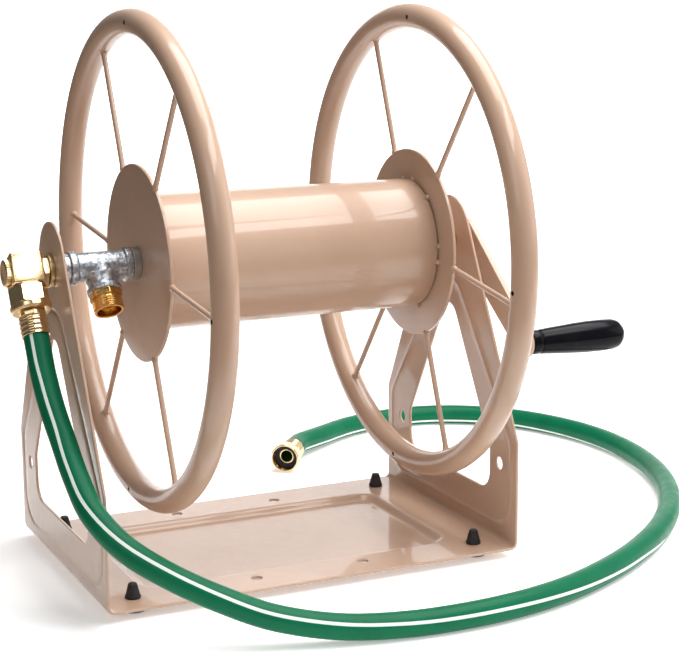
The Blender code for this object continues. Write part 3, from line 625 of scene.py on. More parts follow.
def pressed_sheet(name, outline, holes, thickness, shape, finish, spacing, rows=()):
    """Cut sheet with rounded edges. The shape takes flat (x, y, depth) points to their places."""
    loops = []
    for loop, wanted in [(outline, 1), *[(hole, -1) for hole in holes]]:
        ring = denser([Vector(point[:2]) for point in loop], spacing * 0.8, True)
        loops.append(ring if signed_area(ring) * wanted > 0 else ring[::-1])
    normals = [facing_out(loop) for loop in loops]
    inner = [[p - n * EDGE for p, n in zip(loop, out)] for loop, out in zip(loops, normals)]
    ends = as_array(outline)
    low, high = ends.min(axis=0), ends.max(axis=0)
    grid = np.stack(np.meshgrid(np.arange(low[0], high[0], spacing),
                                np.arange(low[1], high[1], spacing)), axis=-1).reshape(-1, 2)
    free = [grid]
    if rows:
        free[0] = grid[distance(grid, rows) > spacing * 0.7]
        free.append(np.concatenate([as_array(row) for row in rows]))
    free.append(np.concatenate([as_array([p - n * (EDGE + 0.0012) for p, n in zip(loop, out)])
                                for loop, out in zip(loops, normals)]))
    free = np.concatenate(free)
    free = free[inside(free, inner) & (distance(free, inner) > 0.0009)]
    flat = [point for loop in inner for point in loop]
    edges = []
    first = 0
    for loop in inner:
        edges += [(first + i, first + (i + 1) % len(loop)) for i in range(len(loop))]
        first += len(loop)
    points, _, triangles, origins, _, _ = delaunay_2d_cdt(
        flat + [Vector(p) for p in free], edges, [], 0, 1e-7)
    index = {}
    for i, sources in enumerate(origins):
        for source in sources:
            index[source] = i
    corners = as_array(points)
    middles = corners[np.array(triangles)].mean(axis=1)
    triangles = [t for t, keep in zip(triangles, inside(middles, inner)) if keep]
    count = len(points)
    plan = [(p.x, p.y, 0.0) for p in points] + [(p.x, p.y, thickness) for p in points]
    faces = [tuple(t) for t in triangles]
    faces += [tuple(count + i for i in reversed(t)) for t in triangles]
    turns = [math.radians(angle) for angle in (30, 60, 90)]
    start = 0
    for loop, out, base in zip(loops, normals, inner):
        rings = [[index[start + i] for i in range(len(loop))]]
        levels = [(EDGE * math.sin(a), EDGE * (1 - math.cos(a))) for a in turns]
        levels += [(reach, thickness - depth) for reach, depth in reversed(levels)]
        for reach, depth in levels:
            rings.append(range(len(plan), len(plan) + len(loop)))
            plan += [(*(p + n * reach), depth) for p, n in zip(base, out)]
        rings.append([count + index[start + i] for i in range(len(loop))])
        for upper, lower in zip(rings, rings[1:]):
            for i in range(len(loop)):
                k = (i + 1) % len(loop)
                faces.append((upper[i], upper[k], lower[k], lower[i]))
        start += len(loop)
    places = shape(np.array(plan))
    used = sorted({i for face in faces for i in face})
    renumber = {old: new for new, old in enumerate(used)}
    faces = [tuple(renumber[i] for i in face) for face in faces]
    return new_piece(name, [tuple(places[i]) for i in used], faces, finish, sharp=60)


FLAT_HALF = (RIGHT_FACE - LEFT_FACE) / 2 - BEND    # of the base, between its bends
ARC_LENGTH = BEND * math.pi / 2


def unrolled(height):
    """Distance from the middle of the base, along the flat sheet, to a height on an upright."""
    return FLAT_HALF + ARC_LENGTH + BASE_TOP + height - SHEET_LOW - BEND


def on_side(loop, side):
    """Outline given as (y, height above the base), laid on the unrolled left or right upright."""
    return [Vector((side * unrolled(p.y), p.x)) for p in loop]


def ramp(value):
    t = np.clip(value, 0, 1)
    return t * t * (3 - 2 * t)


def build_frame_sheet():
    """One sheet, bent twice: base with its recess, and two uprights with a pressed line."""
    x, y = RECESS_HALF
    recess = rounded([(-x, -y), (x, -y), (x, y), (-x, y)], [RECESS_CORNER] * 4, 10)
    lines = [denser(on_side(arch(*PRESSING, 0.028, 0.020), side), 0.004, True)
             for side in (-1, 1)]
    upright = arch(BASE_HALF, 0.0, SHOULDER, HEAD, HEAD_RADIUS, 0, 0.015)
    outline = on_side(upright[1:-1], 1) + on_side(upright[1:-1], -1)[::-1]
    holes = []
    for side in (-1, 1):
        holes.append(on_side(arch(*WINDOW, 0.018, 0.015), side))
        axle_height = AXLE.z - BASE_TOP
        holes.append(on_side(circle(BUSH_HOLES[side], 40, (0, axle_height)), side))
        for y in (-WALL_HOLE[0], WALL_HOLE[0]):
            holes.append(on_side(circle(WALL_HOLE_RADIUS, 28, (y, WALL_HOLE[1])), side))
        for y in (-FOOT[1], FOOT[1]):
            holes.append(circle(FOOT_HOLE_RADIUS, 28, (side * FOOT[0], y)))
            holes.append(circle(FLOOR_SCREW_RADIUS, 28, (side * FLOOR_SCREW[0], y)))

    rows = []
    for line in lines:
        line = line if signed_area(line) > 0 else line[::-1]
        out = facing_out(line)
        for k in range(-3, 4):
            offset = k / 3 * LINE_HALF * 1.05
            rows.append([p + n * offset for p, n in zip(line, out)])
    edge = denser(recess, 0.005, True)
    out = facing_out(edge)
    for k in range(-1, 9):
        rows.append([p - n * k / 7 * RECESS_SLOPE for p, n in zip(edge, out)])
    for side in (-1, 1):
        for k in range(-1, 8):
            u = side * (FLAT_HALF + ARC_LENGTH * k / 6)
            count = 44
            rows.append([Vector((u, BASE_HALF * (2 * i / count - 1))) for i in range(1, count)])

    def shape(plan):
        flat = plan[:, :2]
        lift = plan[:, 2] + LINE_HEIGHT * ramp(1 - distance(flat, lines) / LINE_HALF)
        reach = np.where(inside(flat, [recess]), distance(flat, [recess]), 0)
        lift -= RECESS_DEPTH * ramp(reach / RECESS_SLOPE)
        along_sheet = np.abs(flat[:, 0])
        turn = np.clip((along_sheet - FLAT_HALF) / BEND, 0, math.pi / 2)
        beyond = np.maximum(along_sheet - FLAT_HALF - ARC_LENGTH, 0)
        x = np.minimum(along_sheet, FLAT_HALF) + (BEND - lift) * np.sin(turn)
        z = BEND - (BEND - lift) * np.cos(turn) + beyond
        return np.stack([BASE_MIDDLE + np.sign(flat[:, 0]) * x, flat[:, 1], SHEET_LOW + z], axis=1)

    sheet = pressed_sheet("frame_sheet", outline, holes, SHEET, shape, PAINT, 0.006, rows)
    settle(sheet, "frame", "base_pan", "left_upright", "right_upright")


def build_feet():
    """Rubber pad under the sheet, with a barbed plug pushed up through the sheet."""
    profile = [(0, 0.4), (9.5, 0.4), (10.2, 0), (11.6, 0), (12.5, 1.4), (12.5, 6.4), (11.9, 7.2),
               (4.7, 7.2), (4.7, 10.2), (6.8, 10.3), (6.9, 11.6), (6.0, 14.0), (3.9, 22.4),
               (3.2, 23.4), (0, 23.5)]
    for row, y in (("front", -FOOT[1]), ("rear", FOOT[1])):
        for side, x in (("left", -FOOT[0]), ("right", FOOT[0])):
            place = Matrix.Translation((BASE_MIDDLE + x, y, 0))
            settle_turned("frame", f"foot_{row}_{side}", f"rubber_foot_{row}_{side}", profile,
                          place, RUBBER_AND_HOLE_SHADE, edge=0.4)


def build_bushes():
    left = [(11.0, -218.5), (14.7, -218.5), (15.0, -218.2), (15.0, -214.8), (12.9, -214.8),
            (12.9, -209.5), (11.0, -209.5)]
    settle_turned("frame", "left_bush", "left_bush_brass", left, axle_place(), BRASS)
    right = [(8.3, 171.5), (15.0, 171.5), (15.0, 176.2), (11.0, 176.2), (11.0, 183.5),
             (8.3, 183.5)]
    settle_turned("frame", "right_bush", "right_bush_brass", right, axle_place(), BRASS)


# ---------------------------------------------------------------- reel
def wheel_point(x, radius, angle):
    return on_axle(x) + Vector((0, -radius * math.sin(angle), radius * math.cos(angle)))


def build_rim(side, x):
    """Rolled tube with four vent holes on its left flank, their walls painted black as shade
    inside the hollow tube.
    """
    section = circle(RIM_TUBE / MM, 36, (RIM_RADIUS / MM, 0))
    rim = turned(f"{side}_rim_tube", section, axle_place(x), PAINT, edge=0, segments=192)
    for i in range(4):
        angle = VENT_ANGLE + i * math.pi / 2
        start = wheel_point(x - RIM_TUBE - 0.001, RIM_RADIUS, angle)
        # the pit walls keep the cutter's black: painted shade for the dark hollow inside the tube
        pit = turned(f"{side}_vent_{i}", bar(2.1, 0, 9), Matrix.Translation(start) @ ALONG_X,
                     RUBBER_AND_HOLE_SHADE, edge=0, segments=24)
        combine(rim, pit, "DIFFERENCE")
        rim.modifiers[-1].material_mode = "TRANSFER"
    settle(fresh_mesh(rim), "reel", f"{side}_rim")


def build_spoke(side, x, number):
    """Rod welded to the edge of the hub disc and to the inside of the rim."""
    angle = SPOKE_ANGLES[side] + math.tau * number / 6
    start = wheel_point(x, HUB_RADIUS - 0.0025, angle)
    end = wheel_point(x, RIM_RADIUS - RIM_TUBE + 0.0006, angle)
    length = (end - start).length / MM
    thick = SPOKE_RADIUS / MM
    seed = number * 7.3 + x * 100

    def welded(radius, height, turn):
        hub = 0.7 * math.exp(-((height - 2.6) / 1.8) ** 2)
        rim = 0.7 * math.exp(-(length - height) / 1.8) + 1.9 * math.exp(-(length - height) / 0.7)
        lump = noise.noise(Vector((math.cos(turn) * 1.5, math.sin(turn) * 1.5, height + seed)))
        return radius + (hub + rim) * (1 + 0.7 * lump)

    profile = [(0, 0), (thick * 0.75, 0.2), (thick, 1.2), (thick, length), (0, length)]
    settle_turned("reel", f"{side}_spoke_{number + 1}", f"{side}_spoke_rod_{number + 1}", profile,
                  along((end - start).normalized(), start), PAINT, edge=0.3, segments=20,
                  shape=welded, step=0.7)


def build_hub_disc(side, x, bore):
    settle_turned("reel", f"{side}_hub_disc", f"{side}_disc_plate",
                  bar(HUB_RADIUS / MM, -1.5, 1.5, bore), axle_place(x), PAINT, edge=0.6,
                  segments=144)


def build_drum():
    """Welded tube, a hair short of the discs, with tack welds round both ends."""
    outer = DRUM_RADIUS / MM
    settle_turned("reel", "drum", "drum_tube", bar(outer, -132.4, 132.4, outer - 1.8),
                  axle_place(), PAINT, edge=0.7, segments=192, step=30)
    for end, side in ((-0.1328, "left"), (0.1328, "right")):
        for i, (degrees, radius) in enumerate(TACKS):
            path = [wheel_point(end, DRUM_RADIUS + 0.0004, math.radians(degrees + offset))
                    for offset in (-2.5, -1.5, -0.5, 0.5, 1.5, 2.5)]
            tack = bead(f"drum_tack_{side}_{i + 1}", path, radius, PAINT, closed=False, seed=i)
            settle(tack, "reel")


def build_inlet_pipe():
    """Pipe nipple that turns in the left bush, with its wrench collar beside the tee."""
    profile = [(6.5, -232.5), (8.5, -232.5), (8.5, -218.7), (10.6, -218.7), (10.6, -206.0),
               (13.0, -206.0), (13.0, -199.9), (9.3, -199.9), (9.3, -188.5), (6.5, -188.5)]
    settle_turned("reel", "inlet_nipple", "inlet_pipe", profile, axle_place(), GALVANISED)


def build_tee():
    """Malleable tee with soft fillets: a union of turned bodies, remeshed, then bored."""
    middle = Matrix.Translation(Vector((X_TEE, 0, AXLE.z)))
    run = [(0, -28), (14.9, -28), (15.2, -27.4), (15.2, -22.4), (14.6, -21.8), (13.1, -21.4),
           (13.1, 21.4), (14.6, 21.8), (15.2, 22.4), (15.2, 27.4), (14.9, 28), (0, 28)]
    tee = turned("tee_casting", run, middle @ ALONG_X, GALVANISED, edge=0.3)
    down = along(TEE_OUT, Vector((X_TEE, 0, AXLE.z)))
    branch = [(0, 0), (13.0, 0), (13.0, 21.0), (14.6, 21.4), (15.2, 22.0), (15.2, 26.4),
              (14.9, 27.0), (0, 27)]
    combine(tee, turned("tee_branch", branch, down, GALVANISED, edge=0.3), "UNION")
    root = [(0, 6), (15.6, 10.5), (14.4, 13.5), (13.5, 16.5), (13.0, 20), (0, 20)]
    combine(tee, turned("tee_root", root, down, GALVANISED, edge=1.0), "UNION")
    remesh = tee.modifiers.new("cast", "REMESH")
    remesh.mode = "VOXEL"
    remesh.voxel_size = 0.0006
    soften = tee.modifiers.new("soften", "SMOOTH")
    soften.factor = 0.5
    soften.iterations = 5
    for name, start, place in (("bore", -30, middle @ ALONG_X), ("mouth", 0, down)):
        tool = turned(f"tee_{name}", bar(9.6, start, 30), place, GALVANISED, edge=0)
        combine(tee, tool, "DIFFERENCE")
    settle(fresh_mesh(tee), "reel", "pipe_tee")


def build_collar():
    profile = [(0, -155.5), (9.3, -155.5), (9.3, -143.3), (14.6, -143.3), (15.0, -142.6),
               (15.0, -136.8), (10.7, -136.8), (10.7, -127.5), (0, -127.5)]
    settle_turned("reel", "hub_collar", "hub_collar_iron", profile, axle_place(), DULL_IRON,
                  edge=0.4)


def build_outlet():
    """Brass male connector: hexagon, relief and hose thread."""
    profile = [(7.5, 15.5), (9.3, 15.5), (9.3, 27.3), (14.4, 27.3), (14.6, 27.8), (14.6, 32.0),
               (14.2, 32.5), (12.4, 32.6), (12.4, 33.6), (13.3, 34.0), (13.3, 43.9), (12.7, 44.8),
               (10.9, 44.8), (10.6, 44.5), (10.6, 30.0), (7.5, 28.0)]
    flats = hexagonal(26.4)
    thread = threaded(33.6, 44.4, 2.2, 0.9)

    def shape(radius, height, angle):
        if 27.0 < height < 33.0:
            return flats(radius, height, angle)
        return thread(radius, height, angle) if radius > 11.5 and height > 33.0 else radius

    place = along(TEE_OUT, Vector((X_TEE, 0, AXLE.z)))
    settle_turned("reel", "outlet_connector", "outlet_brass", profile, place, YELLOW_BRASS,
                  edge=0.15, segments=96, shape=shape, step=0.28)


def build_crank():
    """Boss, shaft, cross bolt and washer, then the flat arm with its weld."""
    settle_turned("reel", "hub_boss", "crank_boss", bar(13.0, 136.8, 166.5, 8.3), axle_place(),
                  PAINT, edge=0.7)
    settle_turned("reel", "crank_shaft", "crank_axle", bar(8, 130, 200), axle_place(), STEEL,
                  edge=0.5)
    up = Matrix.Translation(on_axle(0.152))
    bolt = [(0, -20), (2.9, -20), (2.9, 13.3), (5.4, 13.3), (5.4, 15.4), (4.2, 16.8), (0, 16.8)]
    settle_turned("reel", "cross_bolt", "crank_bolt", bolt, up, STEEL, edge=0.4, segments=32)
    nut = [(3.3, -18.3), (5.3, -18.3), (5.8, -17.8), (5.8, -13.8), (5.3, -13.3), (3.3, -13.3)]
    settle_turned("reel", "cross_bolt_nut", "crank_bolt_nut", nut, up, STEEL, edge=0.1,
                  shape=hexagonal(10.0), step=0.4)
    settle_turned("reel", "thrust_washer", "crank_washer", bar(12.5, 168.8, 170.8, 8.3),
                  axle_place(), NYLON)

    grip = Vector((GRIP_AXIS.y, GRIP_AXIS.z))
    outline = tapered_bar(ARM_HEAD_RADIUS, grip, ARM_END_RADIUS, 36)

    def shape(plan):
        x = DRUM_X + ARM_X + plan[:, 2]
        return np.stack([x, plan[:, 0], AXLE.z + plan[:, 1]], axis=1)

    arm = pressed_sheet("crank_bar", outline, [circle(0.0082, 40), circle(0.0043, 28, grip)],
                        ARM_THICKNESS, shape, PAINT, 0.007)
    settle(arm, "reel", "crank_arm")
    ring = [wheel_point(ARM_X - 0.0018, 0.0120, math.tau * i / 60) for i in range(60)]
    settle(bead("crank_weld", ring, 0.0036, PAINT), "reel")


def build_grip():
    """Moulded grip on its screw, with washer and nut."""
    head = 299.0
    screw = [(0, 186.5), (3.9, 186.5), (3.9, head), (6.8, head), (6.6, head + 0.9),
             (5.2, 301.0), (2.2, 301.0), (1.8, 300.2), (0, 300.2)]
    settle_turned("reel", "grip_screw", "grip_axle", screw, grip_place(), STEEL, edge=0.3)
    nut = [(4.3, 187.2), (6.9, 187.2), (7.5, 187.7), (7.5, 192.6), (6.9, 193.2), (4.3, 193.2)]
    settle_turned("reel", "grip_nut", "grip_lock_nut", nut, grip_place(), STEEL, edge=0.1,
                  shape=hexagonal(13.0), step=0.4)
    settle_turned("reel", "grip_washer", "grip_flat_washer", bar(9.0, 198.8, 200.3, 4.3),
                  grip_place(), STEEL)
    profile = [(4.3, 200.6), (10.5, 200.6), (11.2, 202.1), (11.2, 208.4), (10.5, 209.4),
               (10.5, 210.2), (11.3, 211.2), (12.2, 222.0), (13.1, 235.6), (14.0, 248.0),
               (14.6, 260.6), (14.7, 276.6), (14.3, 288.6), (12.8, 294.1), (9.2, 298.3),
               (7.6, 298.7), (4.3, 298.7)]
    settle_turned("grip", "grip", "grip_moulding", profile, grip_place(), GRIP_BLACK, edge=1.0,
                  segments=96)


# ---------------------------------------------------------------- water inlet
def build_elbow():
    """Brass block bored along the axle, with its outlet thread hidden in the coupling."""
    middle = Vector((X_ELBOW, 0, AXLE.z))
    bm = bmesh.new()
    bmesh.ops.create_cube(bm, size=0.028)
    bmesh.ops.bevel(bm, geom=bm.edges[:], offset=0.0016, segments=4, profile=0.5, affect="EDGES")
    mesh = bpy.data.meshes.new("elbow_block")
    bm.to_mesh(mesh)
    bm.free()
    mesh.materials.append(BRASS)
    tilt = Matrix.Rotation(-ELBOW_TILT, 4, "X")
    elbow = put_in_scene("elbow_block", mesh, Matrix.Translation(middle) @ tilt)
    out = along(ELBOW_OUT, middle)
    combine(elbow, turned("elbow_spout", bar(13.2, 0, 27), out, BRASS), "UNION")
    across = Matrix.Translation(middle) @ ALONG_X
    for name, profile, place in (("bore", bar(8.9, -20, 20), across),
                                 ("seat", bar(11.0, 9.4, 20), across),
                                 ("water", bar(8, 0, 30), out)):
        tool = turned(f"elbow_{name}", profile, place, BRASS, edge=0)
        combine(elbow, tool, "DIFFERENCE")
    settle(fresh_mesh(elbow), "inlet_elbow", "elbow_body")

    def knurled(radius, _height, angle):
        if radius < 10.8:
            return radius
        return radius - 0.25 + 0.25 * math.cos(40 * angle)

    plug = [(0, -256.6), (5.5, -256.6), (6.3, -257.0), (10.4, -257.0), (12.0, -255.9),
            (12.0, -252.3), (8.6, -252.3), (8.6, -247.5), (0, -247.5)]
    settle_turned("inlet_elbow", "elbow_plug", "elbow_end_plug", plug, axle_place(), BRASS,
                  edge=0.3, segments=160, shape=knurled)
    nut = [(8.9, -223.7), (13.0, -223.7), (13.8, -223.2), (13.8, -219.5), (13.0, -219.0),
           (8.9, -219.0)]
    settle_turned("inlet_elbow", "gland_nut", "elbow_gland_nut", nut, axle_place(), BRASS,
                  edge=0.15, shape=hexagonal(24.0), step=0.3)


def build_inlet_coupling():
    """Hexagonal coupling nut with a round flange, then the crimped tail."""
    place = along(ELBOW_OUT, Vector((X_ELBOW, 0, AXLE.z)))
    nut = [(13.7, 14.6), (15.8, 14.6), (17.3, 16.0), (17.3, 29.6), (17.2, 30.4), (17.9, 31.6),
           (17.9, 35.0), (16.6, 36.8), (13.4, 37.0), (9.9, 37.0), (9.9, 32.3), (13.7, 32.3)]
    flats = hexagonal(30.0, math.radians(30))

    def shape(radius, height, angle):
        flat = flats(radius, height, angle)
        return flat + (radius - flat) * min(1, max(0, (height - 29.2) / 1.6))

    coupling = settle_turned("inlet_elbow", "inlet_coupling_nut", "inlet_nut", nut, place, BRASS,
                             edge=0.25, segments=96, shape=shape, step=0.35)
    tail = [(6.5, 30.0), (13.1, 30.0), (13.1, 31.8), (9.6, 31.8), (9.6, 37.3), (11.5, 37.3),
            (11.5, 41.0), (12.5, 41.6), (12.5, 58.6), (12.1, 59.0), (6.5, 59.0)]
    ferrule = settle_turned("inlet_elbow", "inlet_ferrule", "inlet_crimp", tail, place, BRASS,
                            edge=0.25, segments=96,
                            shape=crimp_or_collar(41.4, 58.8, 41.0), step=0.3)
    return [coupling, ferrule]


def crimp_or_collar(start, end, collar):
    """Crimped rings on the wide part of a ferrule, and a small hexagon before them."""
    press = crimped(start, end, 4, 12, 0.9)
    flats = hexagonal(21.6)

    def shape(radius, height, angle):
        if radius > 11.6:
            return press(radius, height, angle)
        return flats(radius, height, angle) if radius > 10.5 and height < collar else radius
    return shape


def build_far_coupling():
    """Open female coupling that lies on the floor."""
    place = along(-MOUTH_DIRECTION, MOUTH)
    inner = threaded(0.8, 9.6, 2.2, -0.7)
    flats = hexagonal(27.4)
    nut = [(13.5, 0.0), (14.8, 0.0), (15.4, 0.7), (15.5, 2.0), (15.5, 13.0), (14.4, 15.0),
           (9.9, 15.0), (9.9, 11.6), (13.6, 11.6)]

    def shape(radius, height, angle):
        if radius > 14.0:
            flat = flats(radius, height, angle)
            return flat + (radius - flat) * min(1, max(0, (2.4 - height) / 1.2))
        return inner(radius, height, angle) if radius > 12.0 and height < 11 else radius

    coupling = settle_turned("hose_coupling", "far_coupling_nut", "far_nut", nut, place, BRASS,
                             edge=0.2, segments=96, shape=shape, step=0.3)
    seal = settle_turned("hose_coupling", "far_washer", "far_seal", bar(13.0, 7.2, 9.3, 8.0),
                         place, RUBBER_AND_HOLE_SHADE)
    tail = [(6.5, 9.6), (13.0, 9.6), (13.0, 11.2), (9.6, 11.2), (9.6, 15.3), (11.3, 15.3),
            (11.3, 19.0), (12.4, 19.6), (12.4, 38.6), (12.0, 39.0), (6.5, 39.0)]
    ferrule = settle_turned("frame", "far_ferrule", "far_crimp", tail, place, BRASS, edge=0.25,
                            segments=96,
                            shape=crimp_or_collar(19.4, 38.8, 19.0), step=0.3)
    return [coupling, seal, ferrule]


# ---------------------------------------------------------------- hose
# the hose between its ends: from the elbow to the floor, flat on the floor, up to the coupling
HOSE_FALLS = ((-0.2580, -0.0620, 0.1745), (-0.2545, -0.0820, 0.1480), (-0.2525, -0.1080, 0.1235),
              (-0.2480, -0.1400, 0.0995), (-0.2310, -0.1710, 0.0770), (-0.2020, -0.1970, 0.0575),
              (-0.1680, -0.2170, 0.0400), (-0.1290, -0.2360, 0.0245), (-0.0790, -0.2530, 0.0145))
HOSE_LIES = ((-0.0250, -0.2640), (0.0300, -0.2680), (0.0850, -0.2630), (0.1380, -0.2490),
             (0.1880, -0.2270), (0.2360, -0.1990), (0.2830, -0.1640), (0.3250, -0.1250),
             (0.3620, -0.0800), (0.3940, -0.0280), (0.4180, 0.0300), (0.4320, 0.0900),
             (0.4350, 0.1520), (0.4240, 0.2130), (0.3980, 0.2700), (0.3580, 0.3140),
             (0.3070, 0.3400), (0.2520, 0.3440))
HOSE_RISES = ((0.1990, 0.3290, 0.0120), (0.1530, 0.3010, 0.0135))
STRAIGHT = (0.030, 0.024)         # stiff stretches beside the two ferrules


def hose_route():
    """Points along the hose: out of the elbow, down past the frame, round on the floor."""
    start = Vector((X_ELBOW, 0, AXLE.z)) + ELBOW_OUT * HOSE_START
    end = MOUTH - MOUTH_DIRECTION * HOSE_END
    on_floor = [(x, y, HOSE_RADIUS + 0.0003) for x, y in HOSE_LIES]
    between = [Vector(point) for point in (*HOSE_FALLS, *on_floor, *HOSE_RISES)]
    return [start, start + ELBOW_OUT * STRAIGHT[0], *between,
            end - MOUTH_DIRECTION * STRAIGHT[1], end]


STRIPE = ((0.0, 53), (0.12, 47), (0.22, 33), (0.32, 18), (0.44, -5), (0.54, -50), (0.62, -100),
          (0.70, -138), (0.80, -150), (1.0, -150))   # share of the length, degrees round the hose
STRIPE_SIDES = 2
HOSE_SIDES = 48
HOSE_STEP = 0.008


def smooth_path(route, step):
    """Straight first and last stretches, and between them even steps on a smooth curve."""
    fine = []
    for a, b, c, d in zip(route, route[1:], route[2:], route[3:]):
        for i in range(16):
            t = i / 16
            fine.append(0.5 * (2 * b + (c - a) * t + (2 * a - 5 * b + 4 * c - d) * t ** 2
                               + (3 * b - a - 3 * c + d) * t ** 3))
    fine = [route[0], *fine, route[-2], route[-1]]
    lengths = [0.0]
    for a, b in zip(fine, fine[1:]):
        lengths.append(lengths[-1] + (b - a).length)
    count = round(lengths[-1] / step)
    path = []
    k = 0
    for i in range(count + 1):
        wanted = lengths[-1] * i / count
        while k < len(fine) - 2 and lengths[k + 1] < wanted:
            k += 1
        share = (wanted - lengths[k]) / (lengths[k + 1] - lengths[k])
        path.append(fine[k].lerp(fine[k + 1], share))
    return path


def stripe_angle(share):
    for (start, first), (end, last) in zip(STRIPE, STRIPE[1:]):
        if share <= end:
            t = (share - start) / (end - start)
            return math.radians(first + (last - first) * t * t * (3 - 2 * t))
    return math.radians(STRIPE[-1][1])


def build_hose():
    """Tube with one light stripe that wanders round it."""
    path = smooth_path(hose_route(), HOSE_STEP)
    count = len(path)
    vertices = []
    for i, point in enumerate(path):
        forward = (path[min(i + 1, count - 1)] - path[max(i - 1, 0)]).normalized()
        side = forward.cross(Vector((0, 0, 1))).normalized()
        up = side.cross(forward)
        first = stripe_angle(i / (count - 1)) - math.pi * STRIPE_SIDES / HOSE_SIDES
        for k in range(HOSE_SIDES):
            angle = first + math.tau * k / HOSE_SIDES
            vertices.append(point + (side * math.cos(angle) + up * math.sin(angle)) * HOSE_RADIUS)
    faces = []
    for i in range(count - 1):
        for k in range(HOSE_SIDES):
            m = (k + 1) % HOSE_SIDES
            faces.append((i * HOSE_SIDES + k, (i + 1) * HOSE_SIDES + k,
                          (i + 1) * HOSE_SIDES + m, i * HOSE_SIDES + m))
    faces.append(tuple(range(HOSE_SIDES)))
    faces.append(tuple(range((count - 1) * HOSE_SIDES, count * HOSE_SIDES)))
    hose = new_piece("hose_tube", vertices, faces, HOSE_GREEN, sharp=60)
    hose.data.materials.append(HOSE_WHITE)
    for face in hose.data.polygons:
        if face.index < (count - 1) * HOSE_SIDES and face.index % HOSE_SIDES < STRIPE_SIDES:
            face.material_index = 1
    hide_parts("leader_hose")
    tuple(path[0])
    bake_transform(hose)
    return hose, path


# ---------------------------------------------------------------- studio
PAPER_LEFT = -0.43                # edges of the white paper on the floor, as the camera faces
PAPER_SLANT = 0.235               # the left edge runs away to the left, this much per metre
PAPER_FRONT = -0.36
PAPER_RIGHT = 1.7
PAPER_END = 2.2                   # where the paper turns up behind the reel
PAPER_RISE = (0.4, 1.3)           # how far back and how high it goes from there
PAPER_FADES = (0.15, 0.25, 0.5)   # width of the left, front and right edges
FLOOR_HALF = 9


def paper_surface():
    """White paper that fades into the brown of the studio floor beyond its edges."""
    paper = Surface("studio_paper", (0.9, 0.9, 0.9), 0.9, specular=0.0)
    split = paper.node("SeparateXYZ", {"Vector": paper.coordinates}).outputs
    slanted = paper.node("Math", {0: split["Y"], 1: PAPER_SLANT, 2: split["X"]},
                         operation="MULTIPLY_ADD")
    left, front, right = PAPER_FADES
    white = paper.spread(slanted.outputs["Value"], 0, 1, PAPER_LEFT - left, PAPER_LEFT)
    for edge in (paper.spread(split["X"], 1, 0, PAPER_RIGHT, PAPER_RIGHT + right),
                 paper.spread(split["Y"], 0, 1, PAPER_FRONT - front, PAPER_FRONT)):
        white = paper.node("Math", {0: white, 1: edge}, operation="MULTIPLY").outputs["Value"]
    mixed = paper.node("Mix", {0: white, 6: (0.26, 0.19, 0.14, 1), 7: (0.92, 0.92, 0.92, 1)},
                       data_type="RGBA")
    paper.put("Base Color", mixed.outputs[2])
    paper.put("Emission Color", (1, 1, 1, 1))
    paper.put("Emission Strength", paper.spread(white, 0.03, 0.34, 0, 1))
    return paper.material


def glow_surface():
    """Backdrop lit evenly from behind."""
    glow = Surface("studio_backdrop", (0.9, 0.9, 0.9), 0.9)
    glow.put("Emission Color", (1, 1, 1, 1))
    glow.put("Emission Strength", 1.0)
    return glow.material


def add_stage(name, corners, finish, placement):
    mesh = bpy.data.meshes.new(name)
    mesh.from_pydata(corners, [], [(0, 1, 2, 3)])
    mesh.materials.append(finish)
    put_in_scene(name, mesh, placement)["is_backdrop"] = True


def add_light(name, place, aim, width, depth, power):
    data = bpy.data.lights.new(name, "AREA")
    data.shape = "RECTANGLE"
    data.size = width
    data.size_y = depth
    data.energy = power
    turn = (Vector(aim) - Vector(place)).to_track_quat("-Z", "Y").to_matrix()
    put_in_scene(name, data, Matrix.Translation(place) @ turn.to_4x4())


def add_world():
    """Room that is lighter on the right."""
    world = bpy.data.worlds.new("studio")
    world.use_nodes = True
    bpy.context.scene.world = world
    tree = world.node_tree
    place = add_node(tree, "TexCoord").outputs["Generated"]
    across = add_node(tree, "SeparateXYZ", {"Vector": place}).outputs["X"]
    strength = add_node(tree, "MapRange", {"Value": across, "From Min": -0.3, "From Max": 0.9,
                                           "To Min": 0.10, "To Max": 0.58})
    background = tree.nodes["Background"].inputs
    put(tree, background["Color"], (1, 1, 1, 1))
    put(tree, background["Strength"], strength.outputs["Result"])


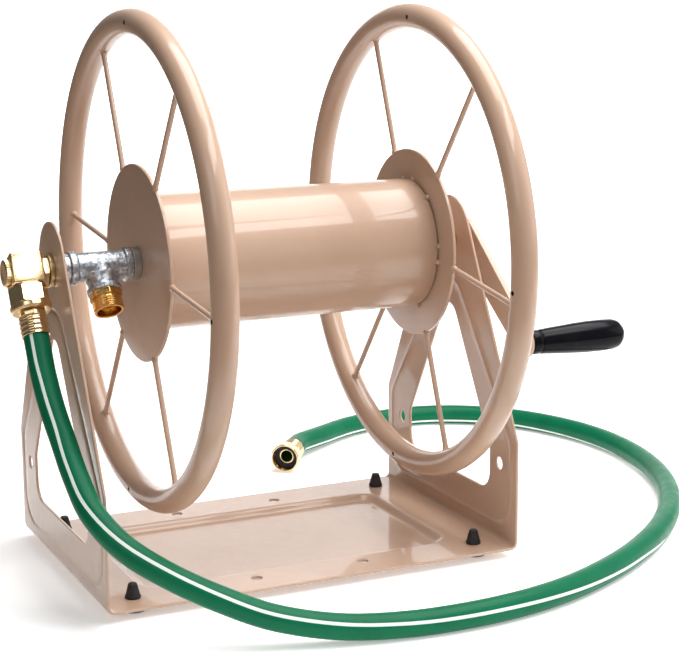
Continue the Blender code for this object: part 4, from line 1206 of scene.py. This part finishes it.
def build_studio():
    turned_stage = Matrix.Rotation(-CAMERA_TURN, 4, "Z")
    far = FLOOR_HALF
    add_stage("floor", [(-far, -far, 0), (far, -far, 0), (far, far, 0), (-far, far, 0)],
              paper_surface(), turned_stage)
    back, height = PAPER_RISE
    back += PAPER_END
    left = PAPER_LEFT - PAPER_SLANT * PAPER_END
    add_stage("backdrop", [(left, PAPER_END, 0.001), (PAPER_RIGHT, PAPER_END, 0.001),
                           (PAPER_RIGHT, back, height), (left, back, height)],
              glow_surface(), turned_stage)
    add_world()
    add_light("overhead", (0.55, 0.05, 2.1), (0.05, 0, 0.1), 1.6, 1.9, 56)
    add_light("front_box", (0.44, -0.92, 1.58), (0, 0, 0.3), 1.3, 0.40, 13)
    add_light("left_fill", (-1.5, -1.5, 1.5), (0, 0, 0.25), 1.3, 1.1, 9)
    add_light("right_fill", (2.2, -0.9, 1.0), (0, 0, 0.2), 1.6, 1.4, 8)
    bpy.context.scene.view_settings.view_transform = "Standard"


# ---------------------------------------------------------------- build
add_camera()
hose_piece, hose_path = build_hose()
near_fittings = build_inlet_coupling()
far_fittings = build_far_coupling()
HOSE_LENGTH = sum((b - a).length for a, b in zip(hose_path, hose_path[1:]))
tuple(hose_path[0])
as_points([tuple(point) for point in hose_path[::3]] + [tuple(hose_path[-1])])

build_frame_sheet()
build_feet()
build_bushes()
for wheel_side, wheel_x, bore in (("left", centre("left_rim").x - DRUM_X, 11.0),
                                  ("right", centre("right_rim").x - DRUM_X, 8.3)):
    build_rim(wheel_side, wheel_x)
    build_hub_disc(wheel_side, wheel_x, bore)
    for spoke_number in range(6):
        build_spoke(wheel_side, wheel_x, spoke_number)
build_drum()
build_inlet_pipe()
build_tee()
build_collar()
build_outlet()
build_crank()
build_grip()
build_elbow()
for node_name in ("swivel_seal", "inlet_washer"):
    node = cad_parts[node_name]
    node.data.materials.clear()
    node.data.materials.append(RUBBER_AND_HOLE_SHADE)
build_studio()

bpy.context.view_layer.update()
[[list(corner) for corner in box] for box in (cad_box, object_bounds())]
